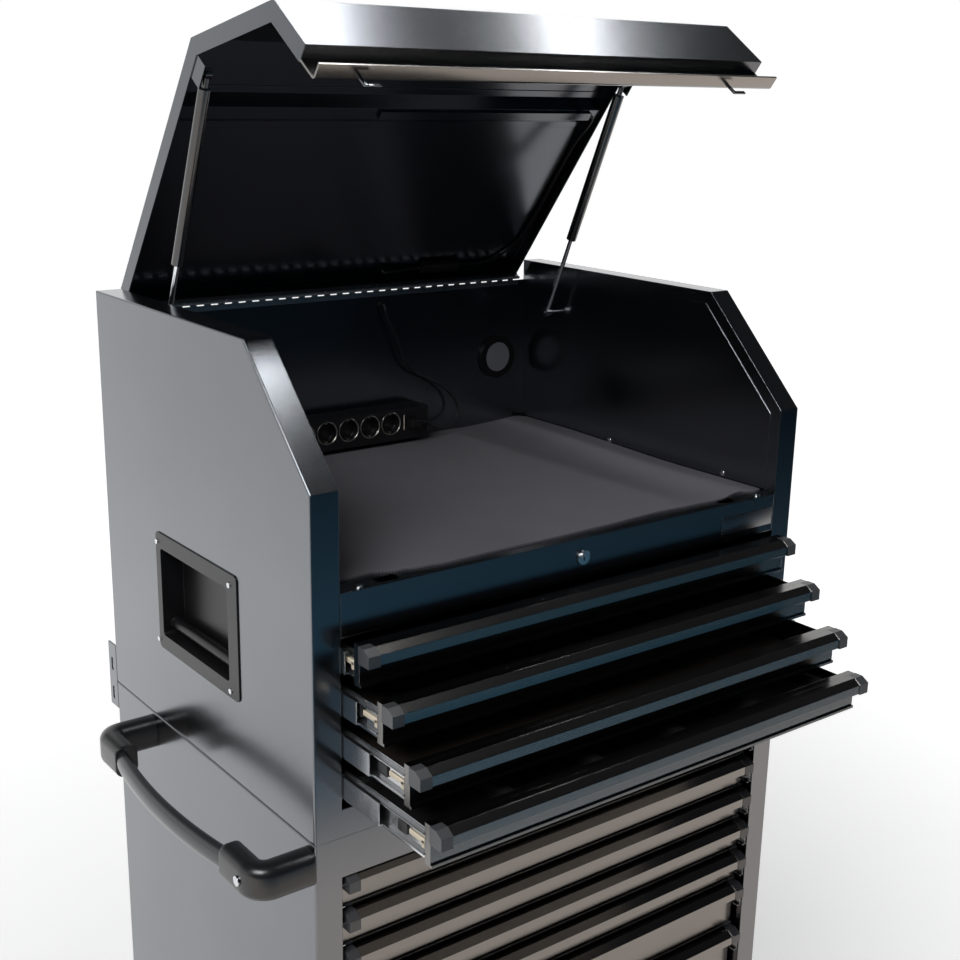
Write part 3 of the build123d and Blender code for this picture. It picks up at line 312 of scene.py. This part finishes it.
# Castors: forks and plates of steel under bright zinc, and moulded wheels with a grey tread round
# a black core. The left pair swivels and has foot levers. The zinc is faintly streaked from
# rolling, and the tread is dull and a little crowned.
def finished(name, bm, material, body, slot, *replaced):
    """Makes a piece of a mesh, with its body and the CAD nodes that it replaces; its slot is not
    used.
    """
    bmesh.ops.remove_doubles(bm, verts=bm.verts, dist=0.00001)
    bmesh.ops.recalc_face_normals(bm, faces=bm.faces)
    mesh = bpy.data.meshes.new(name)
    bm.to_mesh(mesh)
    bm.free()
    mesh.shade_smooth()
    mesh.set_sharp_from_angle(angle=math.radians(35))
    mesh.materials.append(material)
    piece = bpy.data.objects.new(name, mesh)
    bpy.context.collection.objects.link(piece)
    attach(piece, body)
    if replaced:
        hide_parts(*replaced)


def spun(bm, outline, centre, axis, steps):
    """Turns a line of (radius, height) places about an axis through a centre."""
    axis = Vector(axis)
    side = axis.orthogonal().normalized()
    places = [bm.verts.new(centre + side * (r / 1000) + axis * (h / 1000)) for r, h in outline]
    line = [bm.edges.new(pair) for pair in zip(places, places[1:])]
    bmesh.ops.spin(bm, geom=places + line, cent=centre, axis=axis, angle=math.tau, steps=steps,
                   use_merge=True)


zinc, tree, _, places, tone, _ = finish("bright_zinc_plate", "#D4D6D8", "#B9BCC0", 0.26, 1.0,
                                        0.0, 0.9, 0.04, 0.5)
# Streaks a millimetre wide and some 80 mm long
stretch = node(tree, "ShaderNodeMapping", [("Vector", places, "Object")], Scale=(900, 12, 900))
streaks = node(tree, "ShaderNodeTexNoise", [("Vector", stretch, "Vector")], Scale=1.0, Detail=2.0)
tree.links.new(streaks.outputs["Fac"], tone.inputs[0])
wear(zinc, "castor_plates", "castor_fork_front", "castor_fork_rear")
lever_plastic, *_ = finish("moulded_lever_plastic", "#1B1C1E", "#232427", 0.42, 0.0,
                           0.0, 0.9, 0.1, 1.2)
wear(lever_plastic, "brake_lever_front", "brake_lever_rear")
tread, *_ = finish("grey_tread_rubber", "#3B3C3E", "#46474A", 0.75, 0.0, 0.0, 1.2, 0.12, 0.8)
core, *_ = finish("moulded_wheel_core", "#141516", "#1C1D1F", 0.4, 0.0, 0.0, 0.9, 0.08, 1.0)
axle_z = -825.1
axle = (0, 1, 0)
# Both outlines are (radius, height along the axle)
tread_line = [(47, -13), (52, -15.5), (58, -16), (61.5, -13), (62.5, -6), (62.5, 6), (61.5, 13),
              (58, 16), (52, 15.5), (47, 13), (47, -13)]
core_line = [(6, -18.5), (15, -18.5), (17, -16), (18, -7), (40, -6), (43, -13), (47.5, -13.5),
             (47.5, 13.5), (43, 13), (40, 6), (18, 7), (17, 16), (15, 18.5), (6, 18.5), (6, -18.5)]
for name, x, y in (("swivel_front", -403, -245), ("swivel_rear", -403, 245),
                   ("fixed_front", 365, -245), ("fixed_rear", 365, 245)):
    kind, end = name.split("_")
    body = f"{kind}_wheel_{end}"
    bm = bmesh.new()
    spun(bm, tread_line, at(x, y, axle_z), axle, 64)
    finished(f"tyre_{name}", bm, tread, body, "wheel_tyre", f"wheel_{name}")
    bm = bmesh.new()
    spun(bm, core_line, at(x, y, axle_z), axle, 64)
    finished(f"wheel_core_{name}", bm, core, body, "wheel_tyre")

# Slides: telescopic steel channels on each side of every drawer, rolled and zinc plated. The outer
# ones are fixed in the cases, and the middle ones follow their drawers at half the travel.
wear(zinc, "slide_outers", *(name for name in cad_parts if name.endswith("_slide_mid")))

# Drawers: folded sheet trays behind panels, with a pull rail across the top of each. Panels and
# rails have the cases' coat, painted a little warmer and lighter as a painted reflection of the
# pale floor. The rails' end caps are moulded in satin grey plastic, and the inner slides along
# the trays' sides are bright zinc.
rail_half, tray_half = 383.7, 395.4
panel_y, panel_return = -303.0, 12.5
# Each one's number, the top of its slot and how far it stands out
chest_drawers = ((1, 281.0, 48), (2, 221.7, 101), (3, 162.4, 160), (4, 103.1, 204))


def reflection_tinted_drawer_finish(name, cap_front, slide_front):
    """The drawers' coat: moulded caps before one place in y, zinc slides behind another."""
    # Painted reflection: this copy of the coat is warmer and lighter than the cases'
    material, tree, shader, places, tone, _ = finish(name, "#7E7C7A", "#767472", 0.2, 1.0, 0.4,
                                                     1.6, 0.05, 1.0)
    parts = node(tree, "ShaderNodeSeparateXYZ", [("Vector", places, "Object")])
    centred = node(tree, "ShaderNodeMath", [(0, parts, "X")], operation="SUBTRACT")
    centred.inputs[1].default_value = CABINET_MIDDLE[0] / 1000
    off_middle = node(tree, "ShaderNodeMath", [(0, centred, "Value")], operation="ABSOLUTE")

    def area(half, sense, y):
        """Where the piece is farther from the middle than half, and before or behind y."""
        outer = node(tree, "ShaderNodeMath", [(0, off_middle, "Value")], operation="GREATER_THAN")
        outer.inputs[1].default_value = half / 1000
        along = node(tree, "ShaderNodeMath", [(0, parts, "Y")], operation=sense)
        along.inputs[1].default_value = (CABINET_MIDDLE[1] + y) / 1000
        return node(tree, "ShaderNodeMath", [(0, outer, "Value"), (1, along, "Value")],
                    operation="MULTIPLY")

    if cap_front is None:
        # A tray is out of reach of hands, so its gloss is even
        tree.links.remove(shader.inputs["Roughness"].links[0])
    else:
        cap = area(rail_half, "LESS_THAN", cap_front)
        tone = node(tree, "ShaderNodeMix", [(0, cap, "Value"), (6, tone, 2)], data_type="RGBA")
        tone.inputs[7].default_value = shade("#3E3F42")
        metal = node(tree, "ShaderNodeMath", [(1, cap, "Value")], operation="SUBTRACT")
        metal.inputs[0].default_value = 1.0
        tree.links.new(metal.outputs["Value"], shader.inputs["Metallic"])
        satin = node(tree, "ShaderNodeMath", [(0, cap, "Value")], operation="MULTIPLY_ADD")
        satin.inputs[1].default_value = 0.22
        satin.inputs[2].default_value = 0.2
        tree.links.new(satin.outputs["Value"], shader.inputs["Roughness"])
    if slide_front is not None:
        slide = area(tray_half, "GREATER_THAN", slide_front)
        tone = node(tree, "ShaderNodeMix", [(0, slide, "Value"), (6, tone, 2)], data_type="RGBA")
        tone.inputs[7].default_value = shade("#DADCDE")
    tree.links.new(tone.outputs[2], shader.inputs["Base Color"])
    return material


closed_finish = reflection_tinted_drawer_finish("drawer_powder_coat", panel_y - 0.3, panel_y + panel_return)
pull_finish = reflection_tinted_drawer_finish("pull_rail_powder_coat", panel_y - 0.3, None)
wear(closed_finish, *(f"trolley_drawer_{number}" for number in range(1, 8)))
for number, _, opened in chest_drawers:
    wear(pull_finish, f"chest_drawer_{number}_pull")
    slide_front = panel_y + panel_return - opened
    tray_finish = reflection_tinted_drawer_finish(f"chest_tray_{number}_powder_coat", None, slide_front)
    wear(tray_finish, f"chest_drawer_{number}_tray")


# Opened drawers: a ribbed brown rubber liner lies in two of the chest's, and a black tray formed
# of thin foam in its lowest. Each inner slide has a beige acetal release lever, with a black
# block behind it.
def block(bm, x, y, z, rounding):
    """A block between two places on each axis, its edges rounded."""
    made = bmesh.ops.create_cube(bm, size=1)["verts"]
    low, high = at(min(x), min(y), min(z)), at(max(x), max(y), max(z))
    bmesh.ops.scale(bm, vec=high - low, verts=made)
    bmesh.ops.translate(bm, vec=(low + high) / 2, verts=made)
    edges = list({edge for corner in made for edge in corner.link_edges})
    bmesh.ops.bevel(bm, geom=edges, offset=rounding / 1000, offset_type="OFFSET", affect="EDGES",
                    segments=3, profile=0.5, material=-1)


def ribbed(tree, shader, places, skin, spacing, strength, height):
    """Adds ribs from front to back, a spacing in mm apart: at scale 1 they are 314 mm apart."""
    ribs = node(tree, "ShaderNodeTexWave", [("Vector", places, "Object")],
                Scale=314.0 / spacing, bands_direction="X")
    ridges = node(tree, "ShaderNodeBump", [("Height", ribs, "Fac"), ("Normal", skin, "Normal")],
                  Strength=strength, Distance=height)
    tree.links.new(ridges.outputs["Normal"], shader.inputs["Normal"])


acetal, *_ = finish("beige_acetal", "#D9CDB8", "#CFC2AB", 0.4, 0.0, 0.0, 1.2, 0.06, 0.5)
# The liner's ribs are 5 mm apart
liner, tree, shader, places, _, skin = finish("ribbed_liner", "#2E2722", "#3A322B", 0.7, 0.0, 0.0,
                                              2.0, 0.1, 0.5)
ribbed(tree, shader, places, skin, 5, 0.6, 0.001)
foam, *_ = finish("formed_foam", "#1B1B1D", "#232326", 0.85, 0.0, 0.0, 2.5, 0.3, 1.0)
slide_face, slide_drop, slot_height, floor_rise = 396.9, 30.3, 59.3, 5.6
liner_half, liner_thick = 393.5, 2
formed_wide, formed_deep, formed_high, formed_middle = 786, 545, 26, 277
pocket_rim, pocket_deep = 12, 20
for number, slot_top, opened in chest_drawers:
    drawer = f"chest_drawer_{number}"
    front = panel_y - opened
    middle = slot_top - slide_drop
    bottom = slot_top - slot_height + floor_rise
    levers, blocks = bmesh.new(), bmesh.new()
    for side in (-1, 1):
        lever_x = (slide_face * side, (slide_face + 2.5) * side)
        block(levers, lever_x, (front + 14, front + 46), (middle - 3, middle + 4), 0.9)
        block(levers, lever_x, (front + 14, front + 20), (middle - 9, middle + 2), 0.9)
        block_x = (slide_face * side, (slide_face + 2.9) * side)
        block(blocks, block_x, (front + 50, front + 70), (middle - 8, middle + 8), 1.1)
    finished(f"{drawer}_levers", levers, acetal, drawer, "black_plastic")
    finished(f"{drawer}_blocks", blocks, core, drawer, "black_plastic")
    if number in (2, 3):
        bm = bmesh.new()
        block(bm, (-liner_half, liner_half), (front + 4, front + 550),
              (bottom, bottom + liner_thick), 0.8)
        finished(f"{drawer}_liner", bm, liner, drawer, "mat_rubber")
    if number == 4:
        bm = bmesh.new()
        bmesh.ops.create_grid(bm, x_segments=5, y_segments=3, size=0.5)
        bmesh.ops.scale(bm, vec=(formed_wide / 1000, formed_deep / 1000, 1), verts=bm.verts)
        middle_top = at(0, front + formed_middle, bottom + formed_high)
        bmesh.ops.translate(bm, vec=middle_top, verts=bm.verts)
        pockets = list(bm.faces)
        bmesh.ops.inset_individual(bm, faces=pockets, thickness=pocket_rim / 1000, depth=0)
        sunk = bmesh.ops.extrude_discrete_faces(bm, faces=pockets)["faces"]
        corners = list({corner for face in sunk for corner in face.verts})
        bmesh.ops.translate(bm, vec=(0, 0, -pocket_deep / 1000), verts=corners)
        rims = [edge for edge in bm.edges if not edge.is_boundary]
        bmesh.ops.bevel(bm, geom=rims, offset=0.002, offset_type="OFFSET", affect="EDGES",
                        segments=2, profile=0.5, material=-1)
        bmesh.ops.solidify(bm, geom=bm.faces, thickness=0.0015)
        finished(f"{drawer}_formed_tray", bm, foam, drawer, "mat_rubber")

# Side handles: a frame with a pocket and a grip bar, moulded in black plastic and riveted to the
# chest. The lamp's plug and switch, the power strip and the grommet are of the same plastic, whose
# fine eroded grain dulls it a little.
plastic, *_ = finish("moulded_black_plastic", "#0C0C0E", "#121214", 0.34, 0.0, 0.0, 0.9, 0.1, 1.5)
wear(plastic, "side_handles", "usb_plug", "lamp_switch", "power_strip", "cable_grommet")

# Screws and rivets: polished bright steel with rounded rims, through the cases' sheet. The screws
# in the worktop's front and in the chest's side walls have domed heads.
bright, *_ = finish("polished_steel", "#DDDEE0", "#CFD1D4", 0.14, 1.0, 0.0, 0.8, 0.03, 1.4)
wear(bright, "fasteners", "lock_barrel")


def domed(bm, centre, axis, radius, height):
    """A domed head: an arc of places turned about its axis."""
    angles = [step * math.pi / 12 for step in range(6)]
    arc = [(radius * math.cos(angle), height * math.sin(angle)) for angle in angles]
    spun(bm, [(0, -0.05), (radius, -0.05)] + arc + [(0, height)], centre, axis, 24)


head_radius = 5.5
heads = bmesh.new()
for x in (-375, 375):
    domed(heads, at(x, -312, 341), (0, 0, 1), head_radius, 3.4)
for side in (-1, 1):
    for y, z in ((63.6, 350.5), (-209.2, 350.5)):
        domed(heads, at(407.5 * side, y, z), (-side, 0, 0), head_radius, 2.2)
finished("domed_heads", heads, bright, "cabinet", "bright_steel")

# Lock: a chromed cam lock, held in the fascia by the polished ring round its face. A dark block
# of painted shade stands for its key slot; it and a small knob turn with its barrel.
toward_front = (0, -1, 0)
# Painted shade: a thin dark block on the lock's face stands for its key slot
keyway_shade_block = bmesh.new()
block(keyway_shade_block, (0.0, 1.4), (-323.7, -322.9), (308.5, 316.5), 0.3)
finished("keyway_shade_block", keyway_shade_block, core, "lock", "bright_steel")
ring_line = [(8.2, 0), (11, 0), (11, 2.2), (10.4, 3.0), (9.2, 3.2), (8.2, 2.6), (8.2, 0)]
ring = bmesh.new()
spun(ring, ring_line, at(0.7, -320, 312.5), toward_front, 48)
finished("lock_ring", ring, bright, "cabinet", "bright_steel")
knob_line = [(0, 6.5), (2.6, 6.2), (4.0, 5.0), (4.4, 3.5), (4.4, 0), (0, 0)]
knob = bmesh.new()
spun(knob, knob_line, at(-3.5, -320.5, 317), toward_front, 32)
finished("lock_knob", knob, bright, "lock", "bright_steel")

# Blank plate: a thin strip of satin anodised aluminium with rounded edges, stuck to the right end
# of the fascia. There is nothing on it.
plate_metal, *_ = finish("satin_anodised_plate", "#8C8E92", "#84868A", 0.35, 1.0, 0.0,
                         0.5, 0.03, 0.4)
bm = bmesh.new()
block(bm, (290, 404), (-320.9, -319.9), (293, 321), 0.45)
finished("blank_plate", bm, plate_metal, "cabinet", "bright_steel")

# Mat: a loose sheet of black rubber, 3 mm thick, with fine ribs from front to back, drawn coarser
# than real ones so that they show. Its black is painted a dull violet grey, the ribs' sheen
# painted into its colour. Its front edge waves, and its right edge and rear right corner curl up.
mat_front = [(-405.5, -283), (-383, -283), (-366, -281), (-336, -278), (-296, -290), (-260, -296),
             (-223, -301), (-135, -299), (-45, -300), (53, -298), (180, -292), (242, -295),
             (306, -298), (367, -284), (394, -296), (405.5, -292)]
mat_rear, mat_half, mat_corner, mat_top, mat_thick = 318.0, 405.0, 25.0, 344.0, 3.0
# The curl's height, where it begins at the side and at the rear, and how far it takes to rise
mat_curl, side_from, side_run, rear_from, rear_run = 8.5, 250, 155, -120, 330
# Painted sheen: the black rubber's colour is set a dull violet grey
rubber, tree, shader, places, _, skin = finish("ribbed_mat_painted_sheen_grey", "#636167", "#58565A", 0.55,
                                               0.0, 0.0, 1.2, 0.08, 0.8)
ribbed(tree, shader, places, skin, 4.2, 0.55, 0.0012)


def eased(share):
    """A share between 0 and 1, slow at both ends."""
    return share * share * (3 - 2 * share)


def clamped(share):
    """A number brought between 0 and 1."""
    return max(0.0, min(1.0, share))


bm = bmesh.new()
bmesh.ops.create_grid(bm, x_segments=110, y_segments=60, size=0.5)
for corner in bm.verts:
    x = corner.co.x * 2 * mat_half
    left_x, left_y = max(point for point in mat_front if point[0] <= x)
    right_x, right_y = min(point for point in mat_front if point[0] > x)
    near = left_y + (right_y - left_y) * eased((x - left_x) / (right_x - left_x))
    into = max(0.0, abs(x) - (mat_half - mat_corner))
    far = mat_rear - mat_corner + math.sqrt(max(0.0, mat_corner ** 2 - into ** 2))
    y = near + (far - near) * (corner.co.y + 0.5)
    side_rise = clamped((x - side_from) / side_run) ** 2
    rear_rise = clamped((y - rear_from) / rear_run)
    corner.co = at(x, y, mat_top + mat_curl * side_rise * eased(rear_rise))
bmesh.ops.solidify(bm, geom=bm.faces, thickness=mat_thick / 1000)
finished("mat", bm, rubber, "cabinet", "mat_rubber", "worktop_mat")

# Power strip: five earthed sockets in a black moulded housing on the back wall. Each well has a
# nickel rim, two dark discs of painted shade over its pin holes and two bright earth clips, and a
# pale mark is at the right end.
pin_hole_shade_line = [(0, 0.3), (2.9, 0.3), (2.9, -0.2), (0, -0.2)]
rim_line = [(18.6, -1), (20.6, -1), (20.6, 0.8), (19.9, 1.2), (18.6, 0.2), (18.6, -1)]
last_socket_x, socket_pitch, socket_z = 69.3, 44.5, 385
clips, pin_hole_shades = bmesh.new(), bmesh.new()
for number in range(5):
    x = last_socket_x - socket_pitch * number
    for side in (-1, 1):
        # Painted shade: a dark disc over each pin hole in the well's floor
        spun(pin_hole_shades, pin_hole_shade_line, at(x + 9.5 * side, 285, socket_z), toward_front, 20)
        clip_z = (socket_z + 15.2 * side, socket_z + 18.6 * side)
        block(clips, (x - 2.2, x + 2.2), (272, 284.5), clip_z, 0.7)
    spun(clips, rim_line, at(x, 270, socket_z), toward_front, 48)
finished("socket_contacts", pin_hole_shades, core, "cabinet", "black_plastic")
rim_metal, *_ = finish("nickel_plate", "#B9B7B0", "#A8A69F", 0.3, 1.0, 0.0, 0.8, 0.05, 0.5)
finished("socket_clips", clips, rim_metal, "cabinet", "bright_steel")
marks = bmesh.new()
block(marks, (97, 98.5), (269.6, 270.4), (370, 398), 0.3)
finished("strip_mark", marks, acetal, "cabinet", "black_plastic")

# Cable cover: a disc of milky grey plastic, mottled and a little domed, is clipped into a nickel
# ring round a hole in the back wall.
cover_x, cover_z = 345, 473
cover, *_ = finish("milky_cover_plastic", "#85868B", "#5E5F66", 0.3, 0.0, 0.3, 6.0, 0.2, 0.8)
disc_line = [(0, 2.2), (26, 1.8), (33, 0.6), (33, -2), (0, -2)]
bm = bmesh.new()
spun(bm, disc_line, at(cover_x, 315, cover_z), toward_front, 48)
finished("cover_disc", bm, cover, "cabinet", "black_plastic")
cover_ring_line = [(33, -2), (33, 2), (34.5, 3), (37.5, 2.6), (40.5, 0.8), (40.5, -2), (33, -2)]
bm = bmesh.new()
spun(bm, cover_ring_line, at(cover_x, 316.5, cover_z), toward_front, 64)
finished("cover_ring", bm, rim_metal, "cabinet", "black_plastic")

# Lid: a folded steel hood with the cases' coat inside and out, its copy painted darker as painted
# shade. Along its front foot a bent steel rail, coated a warm grey, is the grip, and two thin
# steel hooks under it latch into the worktop.
# Painted shade: the lid's copy of the coat is darker than the cases'
shaded_lid_coat, *_ = finish("lid_powder_coat_painted_shade", "#595C62", "#50545A", 0.2, 1.0, 0.4, 1.6, 0.05, 1.4)
wear(shaded_lid_coat, "lid_shell")
rail_coat, *_ = finish("grip_rail_coat", "#86837F", "#7E7B78", 0.22, 1.0, 0.4, 1.6, 0.05, 1.0)
swing = Matrix.Rotation(-lid_opened, 3, "X")
lid_half, grip_sheet, grip_fold = 398.7, 3.0, 3.0


def grown(geometry):
    """The corners in what an operator made."""
    return [item for item in geometry if isinstance(item, bmesh.types.BMVert)]


bm = bmesh.new()
rail_line = ((-298.5, 398), (-298.5, 362), (-318.5, 362))
places = [bm.verts.new(at(-lid_half, y, z)) for y, z in rail_line]
line = [bm.edges.new(pair) for pair in zip(places, places[1:])]
drawn = bmesh.ops.extrude_edge_only(bm, edges=line)["geom"]
bmesh.ops.translate(bm, vec=(2 * lid_half / 1000, 0, 0), verts=grown(drawn))
fold = [edge for edge in bm.edges if len(edge.link_faces) == 2]
bmesh.ops.bevel(bm, geom=fold, offset=grip_fold / 1000, offset_type="OFFSET", affect="EDGES",
                segments=4, profile=0.5, material=-1)
bmesh.ops.solidify(bm, geom=bm.faces, thickness=-grip_sheet / 1000)
bmesh.ops.rotate(bm, cent=at(0, *hinge_line), matrix=swing, verts=bm.verts)
finished("grip_rail", bm, rail_coat, "lid", "pull_coat", "lid_grip_rail")
hooks = bmesh.new()
for x in (-338, 302):
    block(hooks, (x - 3, x + 3), (-304.6, -301.9), (339.3, 360), 0.7)
    block(hooks, (x - 2.8, x + 22), (-304.5, -302), (339, 344.5), 0.7)
bmesh.ops.rotate(hooks, cent=at(0, *hinge_line), matrix=swing, verts=hooks.verts)
finished("latch_hooks", hooks, case_coat, "lid", "pull_coat")

# Hinge: a piano hinge of zinc-plated steel, one leaf on the chest and one on the lid, with their
# knuckles rolled round one pin. The zinc is bright, so the knuckles glint in a row.
wear(zinc, "hinge_leaf_fixed", "hinge_leaf_lid")

# Gas struts: a black enamelled cylinder and a polished rod on each side, between a stud in the
# chest's wall and one in the lid. The enamel has a deep gloss.
strut_paint, *_ = finish("strut_enamel", "#0F1011", "#151618", 0.18, 0.0, 1.0, 1.2, 0.04, 0.6)
wear(strut_paint, "strut_cylinder_left", "strut_cylinder_right")
wear(bright, "strut_rod_left", "strut_rod_right")

# Push handle: two elbows moulded in soft black plastic, screwed to the trolley's left wall, hold
# an oval bar with a satin coat. Each elbow leaves the wall square, turns a tight corner and ends
# in a mouth for the bar.
sleeve, *_ = finish("soft_moulded_sleeve", "#1D1E20", "#18191B", 0.3, 0.0, 0.3, 0.9, 0.06, 6.0)
wall_x, turn_x, turn_radius = -450, -505, 22
elbow_wide, elbow_high, elbow_corner, elbow_z = 36, 50, 13, -35
low, high = elbow_z - elbow_high / 2, elbow_z + elbow_high / 2
for name, outer_y, mouth_y, way in (("rear_elbow", 200, 108, -1), ("front_elbow", -323, -231, 1)):
    middle_y = outer_y + way * elbow_wide / 2
    turn_y = middle_y + way * turn_radius
    bm = bmesh.new()
    bm.faces.new([bm.verts.new(at(wall_x, middle_y + half * elbow_wide / 2, z))
                  for half, z in ((-1, low), (1, low), (1, high), (-1, high))])
    bmesh.ops.bevel(bm, geom=list(bm.verts), offset=elbow_corner / 1000, offset_type="OFFSET",
                    affect="VERTICES", segments=6, profile=0.5, material=-1)
    arm = bmesh.ops.extrude_face_region(bm, geom=list(bm.faces))["geom"]
    bmesh.ops.translate(bm, vec=((turn_x - wall_x) / 1000, 0, 0), verts=grown(arm))
    end = [item for item in arm if isinstance(item, bmesh.types.BMFace)]
    swept = bmesh.ops.spin(bm, geom=end, cent=at(turn_x, turn_y, elbow_z), axis=(0, 0, 1),
                           angle=-way * math.radians(90), steps=12)
    bmesh.ops.delete(bm, geom=end, context="FACES_ONLY")
    end = [item for item in swept["geom_last"] if isinstance(item, bmesh.types.BMFace)]
    mouth = bmesh.ops.extrude_face_region(bm, geom=end)["geom"]
    bmesh.ops.translate(bm, vec=(0, (mouth_y - turn_y) / 1000, 0), verts=grown(mouth))
    bmesh.ops.delete(bm, geom=end, context="FACES_ONLY")
    replaced = ("push_handle_elbows",) if name == "rear_elbow" else ()
    finished(name, bm, sleeve, "cabinet", "handle_plastic", *replaced)
bar_coat, *_ = finish("bar_coat", "#3E3F42", "#37383B", 0.26, 0.5, 0.4, 0.9, 0.04, 3.0)
wear(bar_coat, "push_handle_bar")
